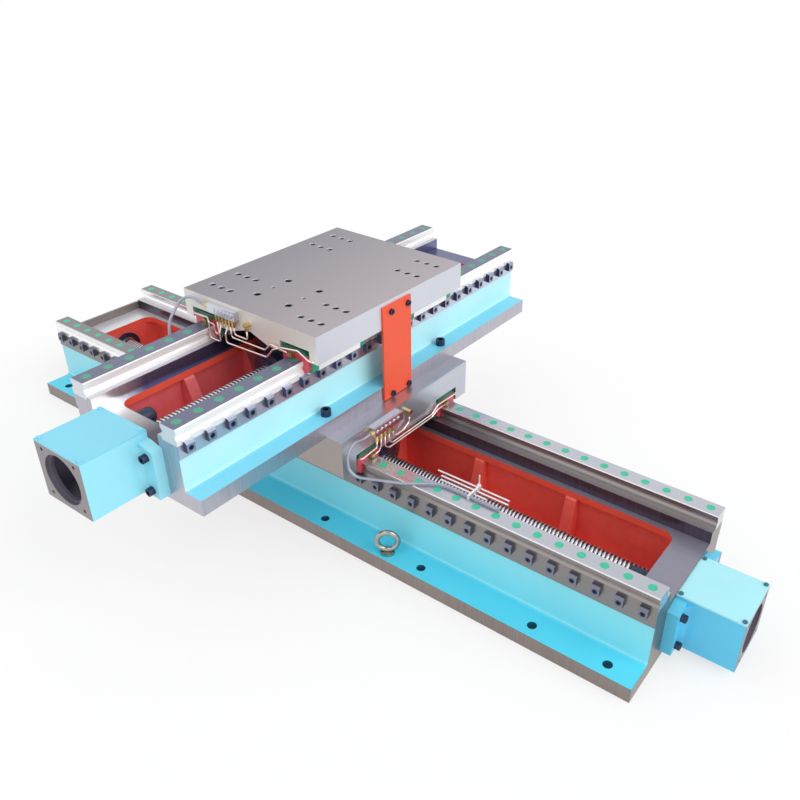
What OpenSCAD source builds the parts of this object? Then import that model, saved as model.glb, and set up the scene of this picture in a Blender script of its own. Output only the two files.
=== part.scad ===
// Cross slide table: a lower bed on the floor carries a saddle along X, and the
// upper bed on that saddle carries the top table along Y. Both slides run on
// roller rails and are driven by ball screws whose motors bolt to open brackets.
// Origin: centre of the lower bed's foot, X along the lower bed towards its motor
// bracket, Y along the upper bed away from its motor bracket, Z up. Millimetres.

/* [Lower bed] */
// Length of the lower bed and its rails
lower_len = 1995; // [1800:5:2200]
// How far the foot flange stands out beyond the strips of the lower bed
lower_foot_w = 74.5; // [60:0.5:100]
// Distance between the two lower rails, centre to centre
lower_gauge = 312; // [300:1:330]
// Height of the lower rail seats above the floor
lower_seat_h = 186; // [180:1:220]
// Height of the bare machined strip below the lower rail seats
lower_strip_h = 41; // [25:1:60]
// Height of the lower ball screw above the floor
lower_axis_h = 89; // [85:1:95]
// Width of the shoulder that locates each lower rail
lower_shoulder_w = 20; // [12:1:22]
// Thickness of each end wall of the lower bed
lower_wall_end = 72.5; // [60:0.5:90]
// Number of bays between the cross webs of the lower bed
lower_bays = 7; // [4:1:9]

/* [Upper bed] */
// Length of the upper bed and its rails
upper_len = 1200; // [1100:5:1500]
// How far the flange stands out beyond the strips of the upper bed
upper_foot_w = 44; // [40:0.5:60]
// Distance between the two upper rails, centre to centre
upper_gauge = 287; // [280:1:300]
// Height of the upper rail seats above the flange face
upper_seat_h = 148; // [144:1:180]
// Height of the bare machined strip below the upper rail seats
upper_strip_h = 31; // [25:1:45]
// Height of the upper ball screw above the flange face
upper_axis_h = 84; // [80:1:86]
// Width of the shoulder that locates each upper rail
upper_shoulder_w = 14; // [10:1:18]
// Thickness of each end wall of the upper bed
upper_wall_end = 53; // [50:0.5:80]
// Number of bays between the cross webs of the upper bed
upper_bays = 6; // [4:1:7]

/* [Bed castings] */
// Thickness of both flanges
flange_t = 38; // [30:1:46]
// How far the painted walls stand in from the machined strips
cast_inset = 3; // [1:0.5:5]
// Radius of the fillet where a wall meets its flange
root_fillet = 10; // [4:1:12]
// Half the width of the well between the rails
well_half_w = 98; // [90:1:100]
// Corner radius of the well
well_r = 30; // [15:1:40]
// Thickness of the rim around the well
rim_t = 18; // [12:1:24]
// How far the well widens below its rim
undercut = 14; // [6:1:20]
// Thickness of the floor of the well
floor_t = 20; // [12:1:26]
// Thickness of the cross webs
web_t = 28; // [16:1:36]
// Depth of the surface between the rails below the rail seats
middle_drop = 25; // [20:1:32]
// Height of the shoulders above the rail seats
shoulder_h = 6; // [3:0.5:7]

/* [Roller rails] */
// Width of a rail
rail_w = 45; // [45:1:48]
// Height of a rail
rail_h = 38; // [36:1:42]
// Distance between the rail bolts
rail_pitch = 52.5; // [50:0.5:60]
// Shortest distance from a rail end to its first bolt
rail_end_min = 15; // [15:1:20]
// Radius of the counterbore for a rail bolt
rail_cbore_r = 10; // [10:0.25:11]
// Depth of the counterbore for a rail bolt
rail_cbore_d = 17; // [16.5:0.5:18]
// Thickness of the plastic cap over a rail bolt
cap_t = 4; // [3:0.5:4.5]

/* [Rail clamps] */
// Length of a clamp block along the rail
clamp_l = 20; // [16:1:28]
// Height of a clamp block
clamp_h = 24; // [22:1:30]
// Thickness of a clamp block
clamp_t = 11; // [9:0.5:14]
// How far a clamp block reaches up over the rail seat
clamp_lap = 6; // [4:0.5:7]
// Height of the clamp screw below the rail seat
clamp_screw_drop = 8; // [7:0.5:10]

/* [Carriages] */
// Width of a carriage
carriage_w = 86; // [80:1:90]
// Height from the rail seat to the top of a carriage
carriage_top = 70; // [66:1:74]
// Gap between the rail seat and the bottom of a carriage
carriage_gap = 9; // [8:0.5:10]
// Length of the steel body of a carriage
carriage_body_l = 136; // [120:1:150]
// Thickness of the green return cap at each end of a carriage
return_cap_t = 19; // [14:1:20]
// Thickness of the red wiper plate at each end of a carriage
wiper_t = 8; // [4:1:10]
// Distance between the rows of mounting bolts along a carriage
carriage_bolt_l = 80; // [70:1:90]
// Distance from the middle mounting bolt of a row to its neighbours
carriage_bolt_w = 30; // [26:1:31]

/* [Saddle] */
// Length of the saddle along the lower bed
saddle_l = 506; // [490:1:540]
// Width of the saddle across the lower bed
saddle_w = 491; // [485:1:510]
// Thickness of the saddle above the lower carriages
saddle_t = 58.5; // [50:0.5:70]
// Depth of the saddle's middle below the carriage seats
saddle_mid_drop = 26; // [20:1:30]
// Depth of the saddle's outer lips below the carriage seats
saddle_lip_drop = 39; // [30:1:44]
// Distance from the ends of the saddle to the wipers of its carriages
saddle_end_inset = 2; // [1:0.5:6]
// Position of the saddle along the lower bed, from its middle
saddle_x = -9; // [-600:1:600]

/* [Top table] */
// Length of the table along the upper bed
table_l = 530; // [525:1:560]
// How far the table stands out beyond the flange of the upper bed
table_over = 0.5; // [0.5:0.5:6]
// Thickness of the table above the upper carriages
table_t = 40; // [34:1:50]
// Depth of the table's underside below the carriage seats
table_drop = 27; // [20:1:30]
// Distance from the ends of the table to the wipers of its carriages
table_end_inset = 1; // [1:0.5:6]
// Position of the table along the upper bed, from its middle
table_y = 6; // [-280:1:280]

/* [Ball screws] */
// Outer radius of the lower ball screw
lower_screw_r = 25; // [22:0.5:25]
// Outer radius of the upper ball screw
upper_screw_r = 20; // [19:0.5:22]
// Outer radius of the lower ball nut
lower_nut_r = 40; // [36:0.5:42]
// Outer radius of the upper ball nut
upper_nut_r = 33; // [30:0.5:36]
// Length of the flange of a ball nut along its screw
nut_flange_t = 18; // [14:1:20]
// How far the flange of a ball nut stands out from its body
nut_flange_lip = 15; // [12:0.5:16]
// Length of a ball nut beyond each face of its housing
nut_nose = 9; // [4:1:12]
// Length of a nut housing along its screw
housing_l = 130; // [124:1:140]
// Width of a nut housing
housing_w = 124; // [122:1:130]
// Distance from the motor end of the saddle to the middle of its nut housing
lower_housing_inset = 173; // [160:1:190]
// Distance from the motor end of the table to the middle of its nut housing
upper_housing_inset = 131; // [125:1:145]
// Radius of the coupling journal of the lower screw
lower_journal_r = 14; // [10:0.5:14]
// Radius of the coupling journal of the upper screw
upper_journal_r = 10; // [8:0.5:11]
// Length of a coupling journal outside its sleeve
journal_l = 58; // [40:1:70]

/* [Screw bearings] */
// Outer radius of the bearing sleeves of the lower bed
lower_sleeve_r = 45; // [42:0.5:48]
// Outer radius of the bearing sleeves of the upper bed
upper_sleeve_r = 34; // [32:0.5:35]
// Outer radius of the fixed bearings of the lower screw
lower_bearing_r = 36; // [33:0.5:37]
// Outer radius of the fixed bearings of the upper screw
upper_bearing_r = 26; // [24:0.5:27]
// Shaft radius in the fixed bearings of the lower screw
lower_shaft_r = 17.5; // [15:0.5:18]
// Shaft radius in the fixed bearings of the upper screw
upper_shaft_r = 12.5; // [12:0.5:14]
// Outer radius of the support bearing of the lower screw
lower_support_r = 31; // [28:0.5:34]
// Outer radius of the support bearing of the upper screw
upper_support_r = 23.5; // [22:0.5:26]
// Shaft radius in the support bearing of the lower screw
lower_tail_r = 15; // [13:0.5:16]
// Shaft radius in the support bearing of the upper screw
upper_tail_r = 10; // [9:0.5:12]
// Width of a bearing
bearing_w = 16; // [14:1:17]
// Thickness of the mounting flange of a fixed sleeve
sleeve_flange_t = 14; // [10:1:16]
// How far the mounting flange stands out beyond its sleeve
sleeve_flange_lip = 11; // [8:1:11]
// How far the lower fixed sleeve stands out into the well
lower_nose = 62; // [20:1:70]
// How far the upper fixed sleeve stands out into the well
upper_nose = 40; // [20:1:60]
// How far a support sleeve stands out into the well
support_nose = 6; // [4:1:12]

/* [Motor brackets] */
// Width of a motor bracket
bracket_w = 145; // [143:1:156]
// Height of a motor bracket with its cover
bracket_h = 134; // [130:1:136]
// Length of a motor bracket
bracket_l = 148; // [130:1:170]
// Wall thickness of a motor bracket
bracket_wall = 14; // [12:0.5:15]
// Thickness of the plate that the motor bolts to
motor_plate_t = 16; // [12:1:22]
// Radius of the bore that centres the motor
motor_bore_r = 55; // [50:0.5:57]
// Depth of the bore that centres the motor
motor_bore_d = 8; // [4:1:10]
// Radius of the clear hole behind the centring bore
motor_clear_r = 50; // [45:0.5:50]
// Diameter of the circle of motor bolts
motor_pcd = 145; // [140:1:150]
// Radius of a motor bolt hole
motor_hole_r = 4; // [3:0.25:5]
// Distance from the screw to the outer edge of an ear
ear_reach = 114; // [108:1:120]
// Thickness of the ears
ear_t = 25; // [18:1:30]
// Height of the lower bracket's ears above the screw
lower_ear_up = 50; // [38:1:52]
// Height of the upper bracket's ears above the screw
upper_ear_up = 40; // [36:1:42]
// Height of the ears from top to bottom
ear_h = 112; // [100:1:116]
// Distance between the two bolts of an ear
ear_bolt_pitch = 79; // [70:1:84]
// Distance from the screw to the bolts of an ear
ear_bolt_y = 94; // [92:1:98]
// Radius of the fillet between an ear and the bracket wall
ear_fillet = 14; // [6:1:16]
// Thickness of the cover on a motor bracket
cover_t = 4; // [3:0.5:6]

/* [Lock plate] */
// Length of the transport lock plate across the joint
lock_w = 104; // [90:1:120]
// Thickness of the transport lock plate
lock_t = 5; // [4:0.5:8]
// Distance from the top of the table to the top of the lock plate
lock_top = 10; // [6:1:20]
// Gap between the lock plate and the saddle
lock_gap = 2; // [1:0.5:6]
// Distance between the two screws of a row in the lock plate
lock_pitch = 62; // [50:1:66]
// Distance of the screw rows from the middle of the lock plate
lock_offset = 9; // [0:1:10]
// Distance from the plate's top to its upper screw row
lock_edge_top = 18; // [14:1:20]
// Distance from the plate's bottom to its lower screw row
lock_edge_bottom = 9; // [9:0.5:14]

/* [Lubrication] */
// Radius of the flexible supply hoses
hose_r = 3.5; // [3:0.5:5]
// Radius of the rigid oil pipes
pipe_r = 2; // [1.5:0.25:2.5]
// Radius of the bends of the rigid oil pipes
pipe_bend = 6; // [4:0.5:6]
// Height of a distributor block
manifold_h = 22; // [18:1:24]
// Thickness of a distributor block
manifold_t = 14; // [10:1:16]
// Length of the distributor on the saddle
saddle_manifold_l = 104; // [96:1:120]
// Length of the distributor on the table
table_manifold_l = 91; // [80:1:110]
// Distance between the outlets of the distributor on the saddle
saddle_outlet_pitch = 15; // [13:0.5:16]
// Distance between the outlets of the distributor on the table
table_outlet_pitch = 11; // [10:0.5:13]

/* [Fastening] */
// Distance from the middle of the foot to the first pair of anchor holes
anchor_step = 150; // [140:1:155]
// Distance of the anchor holes from the end of the lower bed
anchor_end = 67.5; // [50:0.5:80]
// Distance of the anchor holes from the edge of the flange
anchor_edge = 31; // [25:1:40]
// Radius of the anchor holes
anchor_r = 11; // [8:0.5:14]
// Distance of the lifting eyes from the middle of the bed
eye_x = 355; // [320:1:380]
// Outer radius of the ring of a lifting eye
eye_ring_r = 31.5; // [28:0.5:36]
// Angle of the rings of the lifting eyes to the length of the bed
eye_turn = 34; // [0:1:90]
// Distance of the upper bed's outer bolts from the sides of the saddle
upper_bolt_inset = 25.5; // [20:0.5:40]
// Distance of the upper bed's bolts from the edge of its flange
upper_bolt_edge = 24; // [18:0.5:26]
// Distance from the middle of the nut housing to its bolts, both ways
housing_bolt = 50; // [42:1:50]
// Radial clearance of threads, sleeves and caps in their holes
fit_gap = 0.05; // [0.02:0.01:0.1]
// Clearance between a carriage and its rail
rail_gap = 0.3; // [0.2:0.05:0.6]
// Clearance on each side of a carriage in its seat
seat_gap = 0.5; // [0.3:0.1:1]

/* [Hidden] */

// Colours as the photograph shows them
paint = [0.45, 0.83, 0.93];
ground = [0.66, 0.66, 0.68];
rail_steel = [0.80, 0.81, 0.82];
black_steel = [0.12, 0.14, 0.20];
cap_green = [0.25, 0.75, 0.62];
seal_green = [0.10, 0.55, 0.42];
wiper_red = [0.80, 0.22, 0.30];
lock_orange = [0.95, 0.38, 0.20];
brass = [0.80, 0.68, 0.42];
pipe_pink = [0.92, 0.82, 0.78];
hose_grey = [0.62, 0.64, 0.68];
tie_white = [0.95, 0.95, 0.95];
round_fn = 48;
eps = 0.01;

// Both stages share one set of modules: index 0 is the lower stage, 1 the upper
bed_len = [lower_len, upper_len];
gauge = [lower_gauge, upper_gauge];
foot_w = [lower_foot_w, upper_foot_w];
flange_w = gauge + [rail_w, rail_w] + 2 * foot_w;
seat_h = [lower_seat_h, upper_seat_h];
strip_h = [lower_strip_h, upper_strip_h];
axis_h = [lower_axis_h, upper_axis_h];
shoulder_w = [lower_shoulder_w, upper_shoulder_w];
wall_end = [lower_wall_end, upper_wall_end];
bays = [lower_bays, upper_bays];
screw_r = [lower_screw_r, upper_screw_r];
nut_r = [lower_nut_r, upper_nut_r];
sleeve_r = [lower_sleeve_r, upper_sleeve_r];
bearing_r = [lower_bearing_r, upper_bearing_r];
shaft_r = [lower_shaft_r, upper_shaft_r];
support_r = [lower_support_r, upper_support_r];
tail_r = [lower_tail_r, upper_tail_r];
journal_r = [lower_journal_r, upper_journal_r];
nose = [lower_nose, upper_nose];
ear_up = [lower_ear_up, upper_ear_up];
plate_t = [saddle_t, table_t];
plate_l = [saddle_l, table_l];
plate_w = [saddle_w, flange_w[1] + 2 * table_over];
carriage_x = plate_l / 2 - [saddle_end_inset, table_end_inset]
    - [1, 1] * (carriage_body_l / 2 + return_cap_t + wiper_t);
housing_x = plate_l / 2 - [lower_housing_inset, upper_housing_inset];
mid_drop = [saddle_mid_drop, table_drop];
lip_drop = [saddle_lip_drop, table_drop];
// Position of the moving plate of each stage, counted towards that stage's motor
slide_at = [saddle_x, -table_y];

// Heights that follow from the sizes above
saddle_top_z = lower_seat_h + carriage_top + saddle_t;
stage_z = [0, saddle_top_z];
function plate_seat(s) = seat_h[s] + carriage_top;
function plate_top(s) = plate_seat(s) + plate_t[s];
function plate_bottom(s) = plate_seat(s) - mid_drop[s];
function strip_half(s) = (gauge[s] + rail_w) / 2;
function wall_half(s) = strip_half(s) - cast_inset;
function inner_half(s) = (gauge[s] - rail_w) / 2 - shoulder_w[s];
function middle_h(s) = seat_h[s] - middle_drop;
function well_len(s) = bed_len[s] - 2 * wall_end[s];
function rail_count(s) = floor((bed_len[s] - 2 * rail_end_min) / rail_pitch) + 1;
function rail_at(s) = [
    for (i = [0 : rail_count(s) - 1]) (i - (rail_count(s) - 1) / 2) * rail_pitch
];

// Fasteners: thread radius, head radius, head height, half width of the key
m6 = [3, 5, 6, 2.9];
m10 = [5, 8, 10, 4.6];
m12 = [6, 9, 12, 5.8];
m16 = [8, 12, 16, 8.1];
rail_bolt_grip = 24;
clamp_screw_grip = 12;
bracket_bolt_grip = 24;
bed_bolt_grip = 30;
carriage_bolt_grip = 15;
housing_bolt_grip = 22;
cover_screw_grip = 7;
lock_screw_grip = 12;
through_gap = 1;
head_gap = 1;
head_sink = 2;

// Rail profile: full width foot and head with a waist for the rollers
rail_foot_h = 13;
rail_waist_low = 18;
rail_waist_high = 23;
rail_head_low = 28;
rail_waist = 4;
rail_chamfer = 2;

// Puts the upper stage's own frame, with X towards its motor, into the part's frame
module on_stage(s) {
    if (s == 0) children();
    else translate([saddle_x, 0, stage_z[1]]) rotate([0, 0, -90]) children();
}

// Puts children on the moving plate of a stage, in that stage's frame
module on_slide(s) {
    on_stage(s) translate([slide_at[s], 0, 0]) children();
}

// Turns a shape drawn up Z so that it points along X
module along_x(x, z) {
    translate([x, 0, z]) rotate([0, 90, 0]) children();
}

// A round bar along X from x0 to x1 at height z
module bar_x(r, x0, x1, z) {
    along_x(x0, z) cylinder(r = r, h = x1 - x0, $fn = round_fn);
}

// A ring along X from x0 to x1 at height z
module ring_x(r, bore, x0, x1, z) {
    difference() {
        bar_x(r, x0, x1, z);
        bar_x(bore, x0 - 1, x1 + 1, z);
    }
}

// A Y-Z outline drawn out along X from x0 to x1
module extrude_x(x0, x1) {
    translate([x0, 0, 0]) rotate([90, 0, 90]) linear_extrude(x1 - x0) children();
}

// A block between two X values, centred on Y, between two heights
module block(x0, x1, w, z0, z1) {
    translate([x0, -w / 2, z0]) cube([x1 - x0, w, z1 - z0]);
}

// A rounded rectangle made of two squares and four circles, so its arcs stay true
module rounded_rect(l, w, r) {
    square([l - 2 * r, w], center = true);
    square([l, w - 2 * r], center = true);
    for (x = [-1, 1], y = [-1, 1]) {
        translate([x * (l / 2 - r), y * (w / 2 - r)]) circle(r = r, $fn = round_fn);
    }
}

// A socket head screw pointing down, with the underside of its head at z = 0
module socket_screw(m, length) {
    translate([0, 0, -length]) cylinder(r = m[0], h = length + eps, $fn = 24);
    difference() {
        cylinder(r = m[1], h = m[2], $fn = 24);
        translate([0, 0, m[2] / 2]) cylinder(r = m[3], h = m[2], $fn = 6);
    }
}

// The hole for a socket screw: clearance through, counterbore from z = 0 upwards
module screw_hole(m, depth, up) {
    translate([0, 0, -depth]) cylinder(r = m[0] + through_gap, h = depth + 1, $fn = 24);
    cylinder(r = m[1] + head_gap, h = up, $fn = 24);
}

// The right half of an outline and its mirror image, in order round the shape
function mirrored(points) = concat(
    points,
    [for (i = [len(points) - 1 : -1 : 0]) [-points[i][0], points[i][1]]]
);

// Half outline of a bed: flange, fillet, wall, strip, rail seat and shoulder
function bed_half(s) = [
    [flange_w[s] / 2, 0],
    [flange_w[s] / 2, flange_t],
    for (a = [0 : 22.5 : 90])
        [wall_half(s) + root_fillet * (1 - sin(a)), flange_t + root_fillet * (1 - cos(a))],
    [wall_half(s), seat_h[s] - strip_h[s]],
    [strip_half(s), seat_h[s] - strip_h[s]],
    [strip_half(s), seat_h[s]],
    [strip_half(s) - rail_w, seat_h[s]],
    [strip_half(s) - rail_w, seat_h[s] + shoulder_h],
    [inner_half(s), seat_h[s] + shoulder_h],
    [inner_half(s), middle_h(s)]
];

// The well between the rails: a rim at the top, wider below it, crossed by webs
// that dip in the middle so that the nut housing can pass
web_clear = 4;
web_top_drop = 4;
web_sill = 8;
module well_cut(s) {
    rim_z = middle_h(s) - rim_t;
    wide = well_half_w + undercut;
    translate([0, 0, floor_t]) linear_extrude(middle_h(s) - floor_t + 1)
        rounded_rect(well_len(s), 2 * well_half_w, well_r);
    translate([0, 0, floor_t]) linear_extrude(rim_z - floor_t)
        rounded_rect(well_len(s), 2 * wide, well_r);
}
module webs(s) {
    rim_z = middle_h(s) - rim_t;
    wide = well_half_w + undercut;
    gap = housing_w / 2 + web_clear;
    for (i = [1 : bays[s] - 1]) {
        x = -well_len(s) / 2 + i * well_len(s) / bays[s];
        extrude_x(x - web_t / 2, x + web_t / 2) for (m = [0, 1]) mirror([m, 0])
            polygon([
                [-eps, floor_t - 1], [wide + 1, floor_t - 1], [wide + 1, rim_z + 1],
                [well_half_w + 1, rim_z + 1], [well_half_w - web_top_drop, rim_z - web_top_drop],
                [gap, floor_t + web_sill], [-eps, floor_t + web_sill]
            ]);
    }
}

// Places of the four bolts that hold a motor bracket, on the outside of its ears
module bracket_bolt_places(s) {
    for (m = [-1, 1], n = [-1, 1]) {
        translate([bed_len[s] / 2 + ear_t, m * ear_bolt_y,
            axis_h[s] + ear_up[s] - ear_h / 2 + n * ear_bolt_pitch / 2])
            rotate([0, 90, 0]) children();
    }
}

// Places of the clamp screws: z = 0 on the outer face of the clamp, pointing out
module clamp_places(s) {
    for (x = rail_at(s), m = [-1, 1]) {
        translate([x, m * (strip_half(s) + clamp_t), seat_h[s] - clamp_screw_drop])
            rotate([-m * 90, 0, 0]) children();
    }
}

// Places of the flange bolt holes: four pairs of anchors below, three pairs above
anchor_at = concat(
    [for (k = [1, 3, 5], m = [-1, 1]) m * k * anchor_step],
    [for (m = [-1, 1]) m * (lower_len / 2 - anchor_end)]
);
module anchor_places() {
    for (x = anchor_at, m = [-1, 1]) {
        translate([x, m * (flange_w[0] / 2 - anchor_edge), flange_t]) children();
    }
}
module upper_bolt_places() {
    for (x = [-1, 0, 1], m = [-1, 1]) {
        translate([x * (saddle_w / 2 - upper_bolt_inset),
            m * (flange_w[1] / 2 - upper_bolt_edge), flange_t]) children();
    }
}

// Places of the lifting eyes on the flange of the lower bed
eye_shank_r = 8;
eye_edge = 26;
eye_grip = 26;
module eye_places() {
    for (x = [-1, 1], m = [-1, 1]) {
        translate([x * eye_x, m * (flange_w[0] / 2 - eye_edge), flange_t]) children();
    }
}

// Places of the end plate's screws, on the outside of the plate
end_plate_t = 8;
end_plate_h = 48;
end_plate_rise = 24;
end_plate_screw_y = 90;
module end_plate_places() {
    for (m = [-1, 1]) {
        translate([-lower_len / 2 - end_plate_t, m * end_plate_screw_y,
            middle_h(0) + end_plate_rise - end_plate_h + 12]) rotate([0, -90, 0]) children();
    }
}

module bed(s) {
    color(paint) on_stage(s) difference() {
        union() {
            difference() {
                extrude_x(-bed_len[s] / 2, bed_len[s] / 2) polygon(mirrored(bed_half(s)));
                well_cut(s);
            }
            webs(s);
        }
        // Bores for the two bearing sleeves
        bar_x(sleeve_r[s] + fit_gap, bed_len[s] / 2 - wall_end[s] - 1, bed_len[s] / 2 + 1,
            axis_h[s]);
        bar_x(sleeve_r[s] + fit_gap, -bed_len[s] / 2 - 1, wall_end[s] - bed_len[s] / 2 + 1,
            axis_h[s]);
        // Tapped holes of the rails and their clamps
        for (x = rail_at(s), m = [-1, 1]) {
            translate([x, m * gauge[s] / 2, seat_h[s] - rail_bolt_grip - 1])
                cylinder(r = m12[0] + fit_gap, h = rail_bolt_grip + 2, $fn = 24);
        }
        clamp_places(s) translate([0, 0, -clamp_t - clamp_screw_grip - 1])
            cylinder(r = m6[0] + fit_gap, h = clamp_screw_grip + 2, $fn = 24);
        bracket_bolt_places(s) translate([0, 0, -ear_t - bracket_bolt_grip - 1])
            cylinder(r = m12[0] + fit_gap, h = bracket_bolt_grip + 2, $fn = 24);
        if (s == 0) {
            anchor_places() translate([0, 0, -flange_t - 1])
                cylinder(r = anchor_r, h = flange_t + 2, $fn = 32);
            eye_places() translate([0, 0, -eye_grip])
                cylinder(r = eye_shank_r + fit_gap, h = eye_grip + 1, $fn = 32);
            end_plate_places() translate([0, 0, -end_plate_t - clamp_screw_grip - 1])
                cylinder(r = m6[0] + fit_gap, h = clamp_screw_grip + 2, $fn = 24);
        } else {
            upper_bolt_places() translate([0, 0, -flange_t - 1])
                cylinder(r = m16[0] + through_gap, h = flange_t + 2, $fn = 32);
        }
    }
}

// One rail with its counterbored holes; m = -1 or 1 picks the side
function rail_half(g) = [
    [rail_w / 2 + g, rail_foot_h],
    [rail_w / 2 + g - rail_waist, rail_waist_low],
    [rail_w / 2 + g - rail_waist, rail_waist_high],
    [rail_w / 2 + g, rail_head_low],
    [rail_w / 2 + g, rail_h + g - rail_chamfer],
    [rail_w / 2 + g - rail_chamfer, rail_h + g]
];
module rail(s, m) {
    color(rail_steel) on_stage(s) translate([0, m * gauge[s] / 2, seat_h[s]]) difference() {
        extrude_x(-bed_len[s] / 2, bed_len[s] / 2)
            polygon(mirrored(concat([[rail_w / 2, 0]], rail_half(0))));
        for (x = rail_at(s)) {
            translate([x, 0, -1]) cylinder(r = m12[0] + through_gap, h = rail_h, $fn = 32);
            translate([x, 0, rail_h - rail_cbore_d])
                cylinder(r = rail_cbore_r, h = rail_cbore_d + 1, $fn = 32);
        }
    }
}
module rail_bolts(s) {
    color(black_steel) on_stage(s) for (x = rail_at(s), m = [-1, 1]) {
        translate([x, m * gauge[s] / 2, seat_h[s] + rail_h - rail_cbore_d])
            socket_screw(m12, rail_h - rail_cbore_d + rail_bolt_grip);
    }
}
module rail_caps(s) {
    color(cap_green) on_stage(s) for (x = rail_at(s), m = [-1, 1]) {
        translate([x, m * gauge[s] / 2, seat_h[s] + rail_h - cap_t])
            cylinder(r = rail_cbore_r - fit_gap, h = cap_t, $fn = 32);
    }
}
clamp_chamfer = 4;
module clamps(s) {
    color([0.30, 0.36, 0.46]) on_stage(s) difference() {
        for (x = rail_at(s), m = [0, 1]) mirror([0, m, 0])
            translate([0, strip_half(s), seat_h[s] + clamp_lap])
                extrude_x(x - clamp_l / 2, x + clamp_l / 2)
                    polygon([
                        [0, -clamp_h], [clamp_t, -clamp_h], [clamp_t, -clamp_chamfer],
                        [clamp_t - clamp_chamfer, 0], [0, 0]
                    ]);
        clamp_places(s) translate([0, 0, -m6[2]]) screw_hole(m6, clamp_t, m6[2] + 1);
    }
}
module clamp_screws(s) {
    color(black_steel) on_stage(s) {
        clamp_places(s) translate([0, 0, -m6[2]])
            socket_screw(m6, clamp_t - m6[2] + clamp_screw_grip);
        if (s == 0) end_plate_places() translate([0, 0, -m6[2]])
            socket_screw(m6, end_plate_t - m6[2] + clamp_screw_grip);
    }
}

// Bearing sleeves: the fixed one carries the thrust bearings at the motor end
module fixed_sleeve(s) {
    inner = bed_len[s] / 2 - wall_end[s] - nose[s];
    outer = bed_len[s] / 2 + sleeve_flange_t;
    color(black_steel) on_stage(s) difference() {
        union() {
            bar_x(sleeve_r[s], inner, outer, axis_h[s]);
            bar_x(sleeve_r[s] + sleeve_flange_lip, bed_len[s] / 2, outer, axis_h[s]);
        }
        bar_x(shaft_r[s] + 2, inner - 1, outer + 1, axis_h[s]);
        bar_x(bearing_r[s], outer - 3 * bearing_w - bearing_inset, outer + 1, axis_h[s]);
    }
}
bearing_inset = 4;
support_lip = 6;
module support_sleeve(s) {
    inner = wall_end[s] + support_nose - bed_len[s] / 2;
    color(black_steel) on_stage(s) difference() {
        bar_x(sleeve_r[s], -bed_len[s] / 2, inner, axis_h[s]);
        bar_x(tail_r[s] + 2, inner - support_lip - bearing_w - 8, inner + 1, axis_h[s]);
        bar_x(support_r[s], inner - support_lip - bearing_w, inner + 1, axis_h[s]);
    }
}
module bearings(s) {
    outer = bed_len[s] / 2 + sleeve_flange_t - bearing_inset;
    inner = wall_end[s] + support_nose - bed_len[s] / 2 - support_lip;
    color(rail_steel) on_stage(s) {
        for (i = [0 : 2]) {
            ring_x(bearing_r[s], shaft_r[s], outer - (i + 1) * bearing_w + (i < 2 ? 0.4 : 0),
                outer - i * bearing_w, axis_h[s]);
        }
        ring_x(support_r[s], tail_r[s], inner - bearing_w, inner, axis_h[s]);
    }
}
thread_gap = 3;
module ball_screw(s) {
    tail = wall_end[s] + support_nose - bed_len[s] / 2;
    head = bed_len[s] / 2 - wall_end[s] - nose[s];
    outer = bed_len[s] / 2 + sleeve_flange_t;
    color(rail_steel) on_stage(s) {
        bar_x(tail_r[s] - fit_gap, tail - support_lip - bearing_w - 4, tail + thread_gap + eps,
            axis_h[s]);
        bar_x(screw_r[s], tail + thread_gap, head - thread_gap, axis_h[s]);
        bar_x(shaft_r[s] - fit_gap, head - thread_gap - eps, outer + 2, axis_h[s]);
        bar_x(journal_r[s], outer, outer + journal_l, axis_h[s]);
    }
}

// Motor bracket: a box open towards the bed and at the top, under its cover
module motor_bracket(s) {
    x0 = bed_len[s] / 2;
    x1 = x0 + bracket_l;
    top = axis_h[s] + bracket_h / 2 - cover_t;
    bottom = axis_h[s] - bracket_h / 2;
    inner_w = bracket_w - 2 * bracket_wall;
    ear_z = axis_h[s] + ear_up[s];
    side = bracket_w / 2;
    recess_r = sleeve_r[s] + sleeve_flange_lip + 1;
    color(paint) on_stage(s) difference() {
        union() {
            block(x0, x1, bracket_w, bottom, top);
            extrude_x(x0, x0 + ear_t) for (m = [0, 1]) mirror([m, 0])
                polygon([
                    [side - 1, ear_z - ear_h], [ear_reach, ear_z - ear_h], [ear_reach, ear_z],
                    [side + 8, ear_z + 9], [side - 1, ear_z + 9]
                ]);
            for (m = [0, 1]) mirror([0, m, 0]) difference() {
                translate([x0 + ear_t - 1, side - 1, max(ear_z - ear_h, bottom)])
                    cube([ear_fillet + 1, ear_fillet + 1, min(ear_z, top) - max(ear_z - ear_h, bottom)]);
                translate([x0 + ear_t + ear_fillet, side + ear_fillet, bottom - 20])
                    cylinder(r = ear_fillet, h = bracket_h + 40, $fn = round_fn);
            }
        }
        // Room for the coupling, open at the top under the cover
        translate([x0 + ear_t, -inner_w / 2, bottom + bracket_wall])
            cube([bracket_l - ear_t - motor_plate_t, inner_w, bracket_h]);
        bar_x(recess_r, x0 - 1, x0 + ear_t + 1, axis_h[s]);
        // Bores that centre the motor, and its four tapped holes
        bar_x(motor_clear_r, x1 - motor_plate_t - 1, x1 + 1, axis_h[s]);
        bar_x(motor_bore_r, x1 - motor_bore_d, x1 + 1, axis_h[s]);
        for (a = [45 : 90 : 315]) {
            along_x(x1 - motor_plate_t - 1, axis_h[s]) rotate([0, 0, a])
                translate([motor_pcd / 2, 0, 0])
                    cylinder(r = motor_hole_r, h = motor_plate_t + 2, $fn = 24);
        }
        bracket_bolt_places(s) translate([0, 0, -ear_t - 1])
            cylinder(r = m12[0] + through_gap, h = ear_t + 2, $fn = 24);
        cover_screw_places(s) translate([0, 0, -cover_t - cover_screw_grip - 1])
            cylinder(r = cover_screw_r + fit_gap, h = cover_screw_grip + 2, $fn = 16);
    }
}
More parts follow.
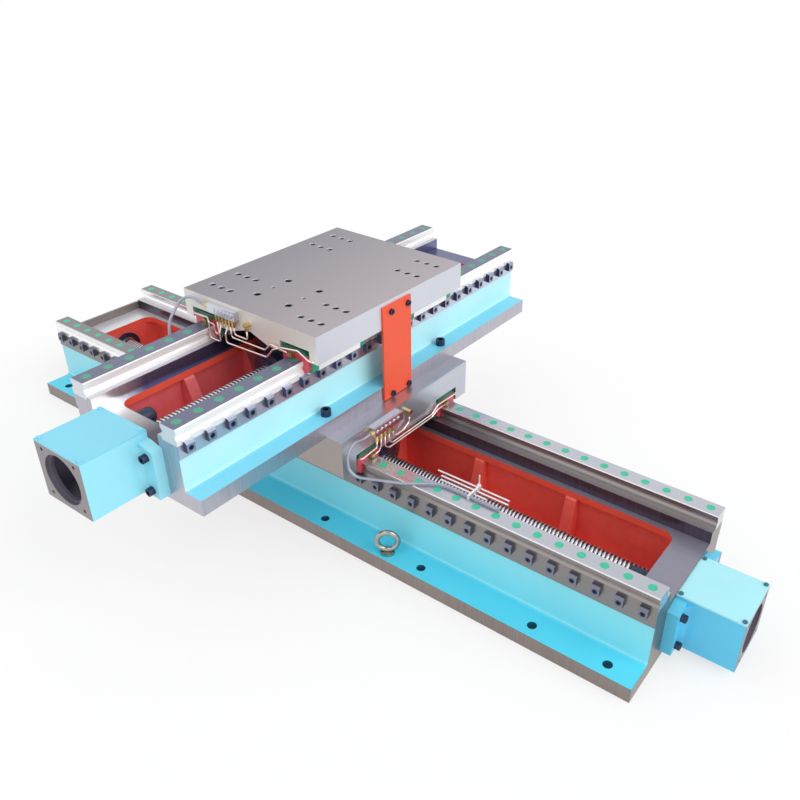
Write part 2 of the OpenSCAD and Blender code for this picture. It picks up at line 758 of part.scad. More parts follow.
module bracket_bolts(s) {
    color(black_steel) on_stage(s) bracket_bolt_places(s)
        socket_screw(m12, ear_t + bracket_bolt_grip);
}
cover_inset = 7;
cover_screw_r = 2.5;
cover_head_r = 5;
cover_head_h = 3;
module cover_screw_places(s) {
    for (x = [cover_inset, bracket_l - cover_inset], m = [-1, 1]) {
        translate([bed_len[s] / 2 + x, m * (bracket_w / 2 - cover_inset),
            axis_h[s] + bracket_h / 2]) children();
    }
}
module bracket_cover(s) {
    top = axis_h[s] + bracket_h / 2;
    color(paint) on_stage(s) difference() {
        block(bed_len[s] / 2, bed_len[s] / 2 + bracket_l, bracket_w, top - cover_t, top);
        cover_screw_places(s) translate([0, 0, -cover_t - 1])
            cylinder(r = cover_screw_r + 0.5, h = cover_t + 2, $fn = 16);
    }
}
module cover_screws(s) {
    color(paint) on_stage(s) cover_screw_places(s) {
        cylinder(r = cover_head_r, h = cover_head_h, $fn = 24);
        translate([0, 0, -cover_t - cover_screw_grip])
            cylinder(r = cover_screw_r, h = cover_t + cover_screw_grip + eps, $fn = 16);
    }
}

// Lifting eye: collar, stem and ring in one, screwed into the flange
eye_tube_r = 6.5;
eye_collar_r = 17;
eye_collar_h = 7;
module lifting_eyes() {
    ring_z = eye_collar_h + eye_ring_r - 2;
    color([0.80, 0.78, 0.72]) eye_places() {
        translate([0, 0, -eye_grip + 2]) cylinder(r = eye_shank_r, h = eye_grip, $fn = 32);
        cylinder(r = eye_collar_r, h = eye_collar_h, $fn = 32);
        translate([0, 0, ring_z]) rotate([90, 0, eye_turn]) rotate_extrude($fn = round_fn)
            translate([eye_ring_r - eye_tube_r, 0]) circle(r = eye_tube_r, $fn = 24);
    }
}
module lower_end_plate() {
    top = middle_h(0) + end_plate_rise;
    x1 = -lower_len / 2;
    color([0.30, 0.27, 0.26]) difference() {
        block(x1 - end_plate_t, x1, 2 * inner_half(0), top - end_plate_h, top);
        end_plate_places() translate([0, 0, -m6[2]]) screw_hole(m6, end_plate_t, m6[2] + 1);
    }
}

// Moving plate of a stage: a slab with seats for the carriages underneath
function plate_half(s) = [
    [plate_w[s] / 2, plate_seat(s) - lip_drop[s]],
    [plate_w[s] / 2, plate_top(s)]
];
function seat_outline(s) = [
    [gauge[s] / 2 - carriage_w / 2 - seat_gap, plate_bottom(s)],
    [gauge[s] / 2 - carriage_w / 2 - seat_gap, plate_seat(s)],
    [gauge[s] / 2 + carriage_w / 2 + seat_gap, plate_seat(s)],
    [gauge[s] / 2 + carriage_w / 2 + seat_gap, plate_seat(s) - lip_drop[s]]
];
module carriage_bolt_places(s) {
    for (cx = [-1, 1], cy = [-1, 1], x = [-0.5, 0.5], y = [-1, 0, 1]) {
        translate([cx * carriage_x[s] + x * carriage_bolt_l,
            cy * gauge[s] / 2 + y * carriage_bolt_w, plate_seat(s)]) children();
    }
}
module housing_bolt_places(s) {
    for (x = [-1, 1], y = [-1, 1]) {
        translate([housing_x[s] + x * housing_bolt, y * housing_bolt, plate_bottom(s)])
            children();
    }
}
carriage_sink = 14;
dowel_r = 6;
dowel_d = 24;
arch_half = 60;
arch_flat = 8;
arch_h = 18;
module plate(s) {
    color(ground) on_slide(s) difference() {
        extrude_x(-plate_l[s] / 2, plate_l[s] / 2)
            polygon(mirrored(concat(
                [for (i = [3 : -1 : 0]) seat_outline(s)[3 - i]], plate_half(s))));
        carriage_bolt_places(s) translate([0, 0, plate_t[s] - carriage_sink])
            screw_hole(m10, plate_t[s], carriage_sink + 1);
        housing_bolt_places(s)
            translate([0, 0, plate_top(s) - plate_bottom(s) - m12[2] - head_sink])
                screw_hole(m12, plate_top(s) - plate_bottom(s), m12[2] + head_sink + 1);
        if (s == 0) {
            // Tapped holes under the upper bed's bolts
            translate([0, 0, plate_top(0)]) rotate([0, 0, -90]) upper_bolt_places()
                translate([0, 0, -flange_t - bed_bolt_grip - 2])
                    cylinder(r = m16[0] + fit_gap, h = bed_bolt_grip + 3, $fn = 32);
        } else {
            for (y = [-1, 1]) {
                translate([housing_x[1], y * housing_bolt, plate_top(1) - dowel_d])
                    cylinder(r = dowel_r, h = dowel_d + 1, $fn = 24);
            }
            // Shallow arch under the end that carries the oil distributor
            extrude_x(housing_x[1] + housing_l / 2, table_l / 2 + 1)
                polygon([
                    [-arch_half, plate_bottom(1) - 1], [arch_half, plate_bottom(1) - 1],
                    [arch_half, plate_bottom(1)], [arch_flat, plate_bottom(1) + arch_h],
                    [-arch_flat, plate_bottom(1) + arch_h], [-arch_half, plate_bottom(1)]
                ]);
            lock_screw_places(true) translate([0, 0, -lock_t - lock_screw_grip - 1])
                cylinder(r = m10[0] + fit_gap, h = lock_screw_grip + 2, $fn = 24);
        }
    }
}
module plate_bolts(s) {
    color(black_steel) on_slide(s) {
        carriage_bolt_places(s) translate([0, 0, plate_t[s] - carriage_sink])
            socket_screw(m10, plate_t[s] - carriage_sink + carriage_bolt_grip);
        housing_bolt_places(s)
            translate([0, 0, plate_top(s) - plate_bottom(s) - m12[2] - head_sink])
                socket_screw(m12, plate_top(s) - plate_bottom(s) - m12[2] - head_sink
                    + housing_bolt_grip);
    }
}
module upper_bed_bolts() {
    color(black_steel) on_stage(1) upper_bolt_places()
        socket_screw(m16, flange_t + bed_bolt_grip);
}

// Carriages: three slices of one profile that wraps the rail
module carriage_places(s) {
    for (cx = [-1, 1], cy = [-1, 1]) {
        translate([cx * carriage_x[s], cy * gauge[s] / 2, seat_h[s]]) children();
    }
}
module carriage_slice(x0, x1, w, z0, z1, chamfer) {
    extrude_x(x0, x1) difference() {
        polygon(mirrored([
            [w / 2 - chamfer, z0], [w / 2, z0 + chamfer], [w / 2, z1 - chamfer],
            [w / 2 - chamfer, z1]
        ]));
        polygon(mirrored(concat([[rail_w / 2 + rail_gap, z0 - 1]], rail_half(rail_gap))));
    }
}
module carriages(s) {
    color(rail_steel) on_slide(s) difference() {
        carriage_places(s) carriage_slice(-carriage_body_l / 2, carriage_body_l / 2,
            carriage_w, carriage_gap, carriage_top, 3);
        carriage_bolt_places(s) translate([0, 0, -carriage_bolt_grip - 1])
            cylinder(r = m10[0] + fit_gap, h = carriage_bolt_grip + 2, $fn = 24);
    }
}
cap_inset = 1;
wiper_inset = 5;
module return_caps(s) {
    color(seal_green) on_slide(s) carriage_places(s) for (m = [0, 1]) mirror([m, 0, 0])
        carriage_slice(carriage_body_l / 2, carriage_body_l / 2 + return_cap_t,
            carriage_w - 2 * cap_inset, carriage_gap + 0.5, carriage_top - cap_inset, 5);
}
module wipers(s) {
    x0 = carriage_body_l / 2 + return_cap_t;
    color(wiper_red) on_slide(s) carriage_places(s) for (m = [0, 1]) mirror([m, 0, 0])
        carriage_slice(x0, x0 + wiper_t, carriage_w - 2 * wiper_inset, carriage_gap + 1,
            carriage_top - wiper_inset, 9);
}

// Ball nut and the housing that hangs it under the moving plate
housing_wall = 14;
housing_flange_t = 22;
housing_body_w = 104;
module nut_housing(s) {
    x0 = housing_x[s] - housing_l / 2;
    x1 = housing_x[s] + housing_l / 2;
    color([0.25, 0.27, 0.32]) on_slide(s) difference() {
        union() {
            block(x0, x1, housing_w, plate_bottom(s) - housing_flange_t, plate_bottom(s));
            block(x0, x1, min(housing_body_w, 2 * (nut_r[s] + housing_wall)), axis_h[s],
                plate_bottom(s));
            bar_x(nut_r[s] + housing_wall, x0, x1, axis_h[s]);
        }
        bar_x(nut_r[s] + fit_gap, x0 - 1, x1 + 1, axis_h[s]);
        housing_bolt_places(s) translate([0, 0, -housing_bolt_grip - 1])
            cylinder(r = m12[0] + fit_gap, h = housing_bolt_grip + 2, $fn = 24);
    }
}
module ball_nut(s) {
    x0 = housing_x[s] - housing_l / 2 - nut_nose;
    x1 = housing_x[s] + housing_l / 2;
    color(rail_steel) on_slide(s) difference() {
        union() {
            bar_x(nut_r[s], x0, x1 + nut_flange_t, axis_h[s]);
            bar_x(nut_r[s] + nut_flange_lip, x1, x1 + nut_flange_t, axis_h[s]);
            bar_x(nut_r[s] - 2, x1, x1 + nut_flange_t + nut_nose, axis_h[s]);
        }
        bar_x(screw_r[s] + fit_gap, x0 - 1, x1 + nut_flange_t + nut_nose + 1, axis_h[s]);
    }
}

// Transport lock plate on the side of the table, over the flange of the upper bed
lock_y = plate_w[1] / 2;
lock_z1 = plate_top(1) - lock_top;
lock_z0 = lock_gap;
module lock_screw_places(upper) {
    z = upper ? lock_z1 - lock_edge_top : lock_z0 + lock_edge_bottom;
    for (x = [-0.5, 0.5]) {
        translate([x * lock_pitch - lock_offset, lock_y + lock_t, z]) rotate([-90, 0, 0])
            children();
    }
}
module lock_plate() {
    color(lock_orange) on_slide(1) difference() {
        translate([-lock_w / 2, lock_y, lock_z0]) cube([lock_w, lock_t, lock_z1 - lock_z0]);
        for (u = [true, false]) lock_screw_places(u) translate([0, 0, -lock_t - 1])
            cylinder(r = m10[0] + fit_gap, h = lock_t + 2, $fn = 24);
    }
}
lock_screw = [5, 7.5, 5, 4];
module lock_screws() {
    color(black_steel) on_slide(1) {
        lock_screw_places(true) socket_screw(lock_screw, lock_t + lock_screw_grip);
        lock_screw_places(false) socket_screw(lock_screw, lock_t - 0.5);
    }
}

// Route with straight legs between hand-picked points and an arc of radius r at
// each of them, and a round tube swept along such a route
function arc_at(a, b, c, r, n) = let(
    u = unit(a - b),
    w = unit(c - b),
    turn = acos(-(u * w)),
    o = b + unit(u + w) * r / cos(turn / 2),
    s = b + u * r * tan(turn / 2) - o,
    e = b + w * r * tan(turn / 2) - o
) [for (k = [0 : n]) o + (sin((n - k) / n * turn) * s + sin(k / n * turn) * e) / sin(turn)];
function bent(p, r, n) = [
    p[0],
    for (i = [1 : len(p) - 2]) each arc_at(p[i - 1], p[i], p[i + 1], r[i - 1], n),
    p[len(p) - 1]
];
function pipe_route(p) = bent(p, [for (q = p) pipe_bend], 3);
function unit(v) = v / norm(v);
function square_to(v, t) = unit(v - (v * t) * t);
function headings(p) = [
    for (i = [0 : len(p) - 1]) unit(p[min(i + 1, len(p) - 1)] - p[max(i - 1, 0)])
];
function normals(t) = [
    for (i = 0, n = square_to([0.3, 0.2, 1], t[0]); i < len(t);
        i = i + 1, n = i < len(t) ? square_to(n, t[i]) : n) n
];
module tube(path, r, sides) {
    t = headings(path);
    n = normals(t);
    last = (len(path) - 1) * sides;
    points = [
        for (i = [0 : len(path) - 1], k = [0 : sides - 1])
            path[i] + r * (cos(360 * k / sides) * n[i] + sin(360 * k / sides) * cross(t[i], n[i]))
    ];
    faces = concat(
        [[for (k = [0 : sides - 1]) k]],
        [for (i = [0 : len(path) - 2], k = [0 : sides - 1])
            [i * sides + k, (i + 1) * sides + k, (i + 1) * sides + (k + 1) % sides]],
        [for (i = [0 : len(path) - 2], k = [0 : sides - 1])
            [i * sides + k, (i + 1) * sides + (k + 1) % sides, i * sides + (k + 1) % sides]],
        [[for (k = [sides - 1 : -1 : 0]) last + k]]
    );
    polyhedron(points, faces);
}

// Distributor on the saddle: outlets along Y on the face beyond the rails.
// The frame of these parts is the top edge of that face. Where a pipe goes to a
// carriage, it ends at a brass port or at the wiper, beside the rail.
module on_saddle_face() {
    translate([saddle_x + saddle_l / 2, 0, saddle_top_z]) children();
}
saddle_bar_y = -145;
saddle_bar_drop = 10.5;
saddle_outlet_y = -134;
fitting_r = 4.5;
fitting_l = 18;
elbow_y = -10;
elbow_z = -28;
elbow_l = 14;
elbow_r = 6;
outlet_off = 8;
valve_r = 5;
valve_h = 3;
port_w = 12;
port_t = 12;
port_h = 10;
touch_gap = 0.1;
module fitting_down(l) {
    translate([0, 0, -l]) cylinder(r = fitting_r, h = l, $fn = 6);
}
module saddle_manifold() {
    color(ground) on_saddle_face() {
        translate([0, saddle_bar_y, -saddle_bar_drop - manifold_h])
            cube([manifold_t, saddle_manifold_l, manifold_h]);
        for (i = [0 : 5]) {
            translate([manifold_t - eps, saddle_outlet_y + i * saddle_outlet_pitch,
                -saddle_bar_drop - manifold_h / 2]) rotate([0, 90, 0])
                cylinder(r = valve_r, h = valve_h, $fn = 24);
        }
    }
}
module saddle_fittings() {
    color(brass) on_saddle_face() {
        for (i = [0 : 4]) {
            translate([outlet_off, saddle_outlet_y + i * saddle_outlet_pitch,
                -saddle_bar_drop - manifold_h]) fitting_down(fitting_l);
        }
        translate([0, elbow_y, elbow_z]) rotate([0, 90, 0])
            cylinder(r = elbow_r, h = elbow_l, $fn = 6);
        translate([outlet_off, elbow_y, elbow_z]) fitting_down(elbow_l);
        // Hose connector at the end of the bar
        translate([outlet_off, saddle_bar_y, -saddle_bar_drop - 9]) rotate([90, 0, 0])
            cylinder(r = elbow_r, h = 12, $fn = 6);
        // Ports on the wipers of both carriages
        for (m = [-1, 1]) {
            translate([touch_gap - saddle_end_inset, m * (gauge[0] / 2 - 7) - port_w / 2, -86.5])
                cube([port_t, port_w, port_h]);
        }
    }
}
pipe_start = -saddle_bar_drop - manifold_h - fitting_l;
saddle_near = -gauge[0] / 2;
saddle_far = gauge[0] / 2;
saddle_wiper = 0.3 - saddle_end_inset;
// Pipes on the saddle, as [x, y, z] from the top edge of its face
saddle_pipe_points = [
    [[8, -134, pipe_start], [8, -134, -68], [8, saddle_near - 34, -72],
        [saddle_wiper, saddle_near - 34, -72]],
    [[8, -119, pipe_start], [8, -119, -70], [8, -127, -82], [8, saddle_near + 13.2, -82]],
    [[8, -104, pipe_start], [8, -104, -80], [8, -90, -92], [8, saddle_far - 72, -92],
        [8, saddle_far - 46, -81], [8, saddle_far - 13.2, -82]],
    [[8, -89, pipe_start], [8, -89, -72], [8, -76, -84], [8, saddle_far - 72, -84],
        [8, saddle_far - 46, -68], [8, saddle_far + 34, -71],
        [saddle_wiper, saddle_far + 34, -71]],
    [[8, -74, pipe_start], [8, -74, -62], [8, -62, -70], [8, -34, -70], [8, elbow_y, -58],
        [8, elbow_y, elbow_z - elbow_l - touch_gap]]
];
module saddle_pipes() {
    color(pipe_pink) on_saddle_face()
        for (p = saddle_pipe_points) tube(pipe_route(p), pipe_r, 8);
}

// Distributor on the table: outlets along X on the face towards the motor.
// The frame of these parts is the top edge of that face.
module on_table_face() {
    translate([saddle_x, table_y - table_l / 2, stage_z[1] + plate_top(1)]) children();
}
table_bar_x = -118;
table_bar_drop = 7.5;
table_outlet_x = -93;
table_elbow_x = 4;
table_elbow_z = -30;
table_start = -table_bar_drop - manifold_h - fitting_l;
module table_manifold() {
    color(ground) on_table_face() {
        translate([table_bar_x, -manifold_t, -table_bar_drop - manifold_h])
            cube([table_manifold_l, manifold_t, manifold_h]);
        for (i = [0 : 5]) {
            translate([table_outlet_x + i * table_outlet_pitch, eps - manifold_t,
                -table_bar_drop - manifold_h / 2]) rotate([90, 0, 0])
                cylinder(r = valve_r, h = valve_h, $fn = 24);
        }
    }
}
module table_fittings() {
    color(brass) on_table_face() {
        for (i = [0 : 5]) {
            translate([table_outlet_x + i * table_outlet_pitch, -outlet_off,
                -table_bar_drop - manifold_h]) fitting_down(fitting_l);
        }
        translate([table_elbow_x, 0, table_elbow_z]) rotate([90, 0, 0])
            cylinder(r = elbow_r, h = elbow_l, $fn = 6);
        translate([table_elbow_x, -outlet_off, table_elbow_z]) fitting_down(elbow_l);
        translate([table_bar_x, -outlet_off, -table_bar_drop - 9]) rotate([0, -90, 0])
            cylinder(r = elbow_r, h = 12, $fn = 6);
        for (m = [-1, 1]) {
            translate([m * (gauge[1] / 2 - 7) - port_w / 2,
                table_end_inset - touch_gap - port_t, -65.5])
                cube([port_w, port_t, port_h]);
        }
    }
}
table_left = -gauge[1] / 2;
table_right = gauge[1] / 2;
table_wiper = table_end_inset - 0.3;
table_pipe_points = [
    [[-93, -8, table_start], [-93, -8, -82], [table_left + 38.5, -8, -82],
        [table_left + 36.5, -8, -60],
        [table_left + 13.2, -8, -60]],
    [[-82, -8, table_start], [-82, -8, -54], [-79, -17, -70], [-79, -17, -93],
        [table_left + 31.5, -17, -93], [table_left + 30.5, -17, -50],
        [table_left + 17.5, -9, -48], [table_left - 30, -9, -50],
        [table_left - 30, table_wiper, -50]],
    [[-60, -8, table_start], [-60, -8, -54], [-60, -16, -68], [-60, -16, -90],
        [table_right - 73.5, -16, -85], [table_right - 50.5, -16, -59],
        [table_right - 23.5, -14, -47], [table_right + 18, -8, -44],
        [table_right + 46, -8, -57], [table_right + 59, -8, -60],
        [table_right + 59, -touch_gap - 0.3, -60]],
    [[-49, -8, table_start], [-49, -8, -76], [table_right - 85.5, -8, -74],
        [table_right - 64.5, -8, -54], [table_right - 13.5, -8, -59]],
    [[-38, -8, table_start], [-38, -8, -66], [table_elbow_x, -8, -66],
        [table_elbow_x, -8, table_elbow_z - elbow_l - touch_gap]]
];
module table_pipes() {
    color(pipe_pink) on_table_face()
        for (p = table_pipe_points) tube(pipe_route(p), pipe_r, 8);
}

// Supply hoses: one to each distributor. The hose of the saddle lies on the front
// rail and carries three loose pipes in a tie; the hose of the table comes down
// beside the upper bed and lies on the ledge of the saddle, up to its union.
rail_level = seat_h[0] + rail_h - saddle_top_z;
tie_t = 1.2;
tie_l = 5;
tie_x = 276;
hose_y = -139;
hose_z = rail_level + hose_r + tie_t + 0.6;
saddle_hose_points = [
    [8, -157.2, -19.5], [8, -184, -19.5], [12, -241, -3], [16, -243, hose_z],
    [128, -192, hose_z], [200, hose_y, hose_z], [358, hose_y, hose_z]
];
saddle_hose_bends = [60, 30, 30, 90, 80];
module saddle_hose() {
    color(hose_grey) on_saddle_face()
        tube(bent(saddle_hose_points, saddle_hose_bends, 4), hose_r, 10);
}
loose_r = 2.5;
// Loose pipes: start and end along X, and place across the hose
loose_rows = [[191, 316, -125.5], [183, 365, -112.5], [164, 360, -99.5]];
module loose_pipes() {
    color(pipe_pink) on_saddle_face() for (row = loose_rows) {
        translate([row[0], row[2], hose_z - hose_r + loose_r - 0.2]) rotate([0, 90, 0])
            cylinder(r = loose_r, h = row[1] - row[0], $fn = 24);
    }
}
tie_y0 = hose_y - hose_r - 0.3;
tie_y1 = loose_rows[2][2] + loose_r + 0.3;
tie_z0 = hose_z - hose_r - 0.3;
tie_z1 = hose_z + hose_r + 0.3;
tie_tail = 34;
module hose_tie() {
    color(tie_white) on_saddle_face() translate([tie_x, 0, 0]) {
        difference() {
            translate([0, tie_y0 - tie_t, tie_z0 - tie_t])
                cube([tie_l, tie_y1 - tie_y0 + 2 * tie_t, tie_z1 - tie_z0 + 2 * tie_t]);
            translate([-1, tie_y0, tie_z0])
                cube([tie_l + 2, tie_y1 - tie_y0, tie_z1 - tie_z0]);
        }
        // The lock of the tie and its loose end
        translate([-1, tie_y1 - 8, tie_z1 + tie_t - eps]) cube([tie_l + 2, 7, 5]);
        translate([1, tie_y1 - 4, tie_z1 + tie_t + 4]) rotate([12, 8, 0])
            cube([tie_l - 2, tie_t, tie_tail]);
    }
}
ledge_z = saddle_top_z + hose_r + 0.3 - stage_z[1] - plate_top(1);
ledge_x = -(saddle_l + flange_w[1]) / 4;
hose_end = 370;
union_l = 34;
union_nut_r = 6;
union_nut_l = 14;
union_z = ledge_z - hose_r + union_nut_r * cos(30);
table_hose_points = [
    [-130.2, -8, -16.5], [-148, -8, -16.5], [-192, -12, 0], [-197, -64, -58],
    [-198, -74, -150], [ledge_x, 35, ledge_z], [ledge_x, 320, ledge_z],
    [ledge_x, 350, union_z], [ledge_x, hose_end, union_z]
];
table_hose_bends = [40, 28, 60, 70, 70, 70, 70];
module table_hose() {
    color(hose_grey) on_table_face()
        tube(bent(table_hose_points, table_hose_bends, 4), hose_r, 10);
}
module hose_union() {
    color(brass) on_table_face() translate([ledge_x, hose_end + touch_gap, union_z])
        rotate([-90, 0, 0]) {
            cylinder(r = hose_r, h = union_l, $fn = 24);
            translate([0, 0, union_nut_l / 2])
                cylinder(r = union_nut_r, h = union_nut_l, $fn = 6);
        }
}

bed(0);  // lower_bed
rail(0, -1);  // lower_rail_front
rail(0, 1);  // lower_rail_rear
rail_bolts(0);  // lower_rail_bolts
rail_caps(0);  // lower_rail_caps
clamps(0);  // lower_clamps
clamp_screws(0);  // lower_clamp_screws
fixed_sleeve(0);  // lower_fixed_sleeve
support_sleeve(0);  // lower_support_sleeve
bearings(0);  // lower_bearings
motor_bracket(0);  // lower_motor_bracket
bracket_cover(0);  // lower_bracket_cover
bracket_bolts(0);  // lower_bracket_bolts
cover_screws(0);  // lower_cover_screws
lifting_eyes();
lower_end_plate();
ball_screw(0);  // lower_ball_screw
plate(0);  // saddle
plate_bolts(0);  // saddle_bolts
carriages(0);  // lower_carriages
return_caps(0);  // lower_return_caps
wipers(0);  // lower_wipers
ball_nut(0);  // lower_ball_nut
nut_housing(0);  // lower_nut_housing
saddle_manifold();
saddle_fittings();
saddle_pipes();
saddle_hose();
hose_tie();
loose_pipes();
bed(1);  // upper_bed
upper_bed_bolts();
rail(1, -1);  // upper_rail_left
rail(1, 1);  // upper_rail_right
rail_bolts(1);  // upper_rail_bolts
rail_caps(1);  // upper_rail_caps
clamps(1);  // upper_clamps
clamp_screws(1);  // upper_clamp_screws
fixed_sleeve(1);  // upper_fixed_sleeve
support_sleeve(1);  // upper_support_sleeve
bearings(1);  // upper_bearings
motor_bracket(1);  // upper_motor_bracket
bracket_cover(1);  // upper_bracket_cover
bracket_bolts(1);  // upper_bracket_bolts
cover_screws(1);  // upper_cover_screws
ball_screw(1);  // upper_ball_screw
plate(1);  // table
plate_bolts(1);  // table_bolts
carriages(1);  // upper_carriages
return_caps(1);  // upper_return_caps
wipers(1);  // upper_wipers
ball_nut(1);  // upper_ball_nut
nut_housing(1);  // upper_nut_housing
table_manifold();
table_fittings();
table_pipes();
table_hose();
hose_union();
lock_plate();
lock_screws();
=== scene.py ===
"""Dresses the cross slide table: materials, screw threads, hoses, light and camera."""

import math

import bmesh
import bpy
from mathutils import Matrix, Vector


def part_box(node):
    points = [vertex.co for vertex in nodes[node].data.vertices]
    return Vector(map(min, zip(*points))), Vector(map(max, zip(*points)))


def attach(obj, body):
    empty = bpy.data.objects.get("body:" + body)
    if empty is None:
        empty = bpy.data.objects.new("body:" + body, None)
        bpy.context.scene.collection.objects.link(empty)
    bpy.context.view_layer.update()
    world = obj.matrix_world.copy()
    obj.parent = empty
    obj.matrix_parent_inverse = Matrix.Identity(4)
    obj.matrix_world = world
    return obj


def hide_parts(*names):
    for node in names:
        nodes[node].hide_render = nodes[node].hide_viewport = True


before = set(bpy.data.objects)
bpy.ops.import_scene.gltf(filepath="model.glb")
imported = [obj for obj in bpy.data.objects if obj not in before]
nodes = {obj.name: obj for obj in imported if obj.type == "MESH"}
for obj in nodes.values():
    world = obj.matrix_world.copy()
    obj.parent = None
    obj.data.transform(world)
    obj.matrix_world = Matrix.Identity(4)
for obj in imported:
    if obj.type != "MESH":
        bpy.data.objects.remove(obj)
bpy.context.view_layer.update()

MM = 0.001

# Sizes of the lower and the upper stage in mm, as the CAD model has them
SADDLE_X = -9.0
UPPER_Z = 314.5
STAGE_SHIFT = 276.5
BED_LENGTH = (1995.0, 1200.0)
FLANGE_WIDTH = (506.0, 420.0)
PAINT_TOP = (145.0, 117.0)
MIDDLE_Z = (161.0, 123.0)
WELL_LENGTH = (1850.0, 1094.0)
WELL_HALF_WIDTH = 113.0
LIP_HEIGHT = 18.0
SCREW_Z = (89.0, 84.0)
SCREW_LEAD = 10.0
STRIP_HALF_WIDTH = (178.5, 166.0)
FLANGE_THICKNESS = 38.0
END_WALL = (72.5, 53.0)
BRACKET_LENGTH = 148.0
BRACKET_HALF_WIDTH = 72.5
BRACKET_Z = ((22.0, 152.0), (17.0, 147.0))
WIPER_STRIP_Z = 240.0

# How far inside a face its own tone starts
SKIN = 0.4 * MM

# Stretches over which a bed's painted light and shade change: along the lower deck, across
# the upper deck, along the upper deck, and along the lower bed's painted walls
FAR_DECK_FADE = (-720.0 * MM, -580.0 * MM)
RIGHT_DECK_FADE = (-90.0 * MM, 50.0 * MM)
STRIP_FADE = (470.0 * MM, 550.0 * MM)
FAR_PAINT_FADE = (-600.0 * MM, -200.0 * MM)


# Materials

class Graph:
    """Short names for the shader nodes that the materials below are made of."""

    def __init__(self, name):
        self.material = bpy.data.materials.new(name)
        self.material.use_nodes = True
        self.tree = self.material.node_tree
        self.shader = self.tree.nodes["Principled BSDF"]
        self.coordinates = self.tree.nodes.new("ShaderNodeTexCoord").outputs["Object"]

    def link(self, value, socket):
        if isinstance(value, (int, float)):
            socket.default_value = value
        elif isinstance(value, tuple):
            socket.default_value = (*value, 1.0) if len(value) == 3 else value
        else:
            self.tree.links.new(value, socket)

    def math(self, operation, a, b=0.0):
        node = self.tree.nodes.new("ShaderNodeMath")
        node.operation = operation
        self.link(a, node.inputs[0])
        self.link(b, node.inputs[1])
        return node.outputs[0]

    def mapped(self, scale, turn=0.0, move=(0.0, 0.0, 0.0)):
        node = self.tree.nodes.new("ShaderNodeMapping")
        node.inputs["Location"].default_value = move
        node.inputs["Rotation"].default_value = (0.0, 0.0, turn)
        node.inputs["Scale"].default_value = scale
        self.link(self.coordinates, node.inputs["Vector"])
        return node.outputs[0]

    def split(self, vector):
        node = self.tree.nodes.new("ShaderNodeSeparateXYZ")
        self.link(vector, node.inputs[0])
        return node.outputs

    def faces(self, axis):
        """1 on the faces that look along an axis, either way, and 0 elsewhere."""
        node = self.tree.nodes.new("ShaderNodeTexCoord")
        part = self.split(node.outputs["Normal"])[axis]
        return self.math("GREATER_THAN", self.math("ABSOLUTE", part), 0.75)

    def in_stage(self, stage):
        """The point in its stage's own frame: along the bed, across it, and up."""
        if stage == 0:
            return self.split(self.coordinates)
        return self.split(self.mapped((1.0, 1.0, 1.0), math.pi / 2,
                                      (0.0, -SADDLE_X * MM, -UPPER_Z * MM)))

    def noise(self, scale, detail=3.0, roughness=0.5, stretch=(1.0, 1.0, 1.0)):
        node = self.tree.nodes.new("ShaderNodeTexNoise")
        node.inputs["Scale"].default_value = scale
        node.inputs["Detail"].default_value = detail
        node.inputs["Roughness"].default_value = roughness
        self.link(self.mapped(stretch), node.inputs["Vector"])
        return node.outputs["Fac"]

    def range(self, value, low, high, start=0.3, end=0.7):
        node = self.tree.nodes.new("ShaderNodeMapRange")
        node.inputs["From Min"].default_value = start
        node.inputs["From Max"].default_value = end
        node.inputs["To Min"].default_value = low
        node.inputs["To Max"].default_value = high
        self.link(value, node.inputs["Value"])
        return node.outputs["Result"]

    def mix(self, factor, a, b):
        node = self.tree.nodes.new("ShaderNodeMix")
        node.data_type = "RGBA"
        self.link(factor, node.inputs["Factor"])
        self.link(a, node.inputs["A"])
        self.link(b, node.inputs["B"])
        return node.outputs["Result"]

    def shade(self, colour, factor, amount=0.08):
        """The colour, a little lighter and darker as factor goes from 0.3 to 0.7."""
        dark = tuple(c * (1.0 - amount) for c in colour)
        light = tuple(min(1.0, c * (1.0 + amount)) for c in colour)
        return self.mix(self.range(factor, 0.0, 1.0), dark, light)

    def bump(self, height, strength, distance):
        node = self.tree.nodes.new("ShaderNodeBump")
        node.inputs["Strength"].default_value = strength
        node.inputs["Distance"].default_value = distance
        self.link(height, node.inputs["Height"])
        self.link(node.outputs["Normal"], self.shader.inputs["Normal"])

    def set(self, **values):
        for name, value in values.items():
            self.link(value, self.shader.inputs[name.replace("_", " ").title()])
        return self.material


def srgb(red, green, blue):
    """A colour given as the 0 to 255 values of an sRGB swatch."""
    def linear(c):
        c /= 255.0
        return c / 12.92 if c <= 0.04045 else ((c + 0.055) / 1.055) ** 2.4
    return (linear(red), linear(green), linear(blue))


# Colours, with one for the lower and one for the upper stage where there are two. Many of
# these pairs are lit and shaded copies of one finish: painted light and shade.
# Cyan paint: each stage's walls, flange tops and brackets take their own lit or shaded tone,
# painted light and shade
WALL_PAINT_AS_LIT = (srgb(144, 238, 252), srgb(192, 246, 254))
WALL_PAINT_FAR_END_LIT = srgb(166, 240, 252)
BRACKET_PAINT_AS_LIT = (srgb(100, 214, 252), srgb(156, 233, 250))
TOP_PAINT_AS_LIT = (srgb(94, 224, 250), srgb(136, 220, 244))
PAINTED_SHADE_IN_HOLES = srgb(28, 112, 142)
# Well red: the upper well's pinker tone is a painted reflection on the red paint, and the
# lip's own tone is painted light
WELL_RED_AND_SHEEN = (srgb(254, 104, 92), srgb(240, 116, 120))
WELL_LIP_LIT = srgb(252, 98, 76)
BARE_STEEL = srgb(204, 202, 208)
STRIP_SIDE_AS_LIT = (srgb(140, 136, 135), srgb(206, 209, 224))
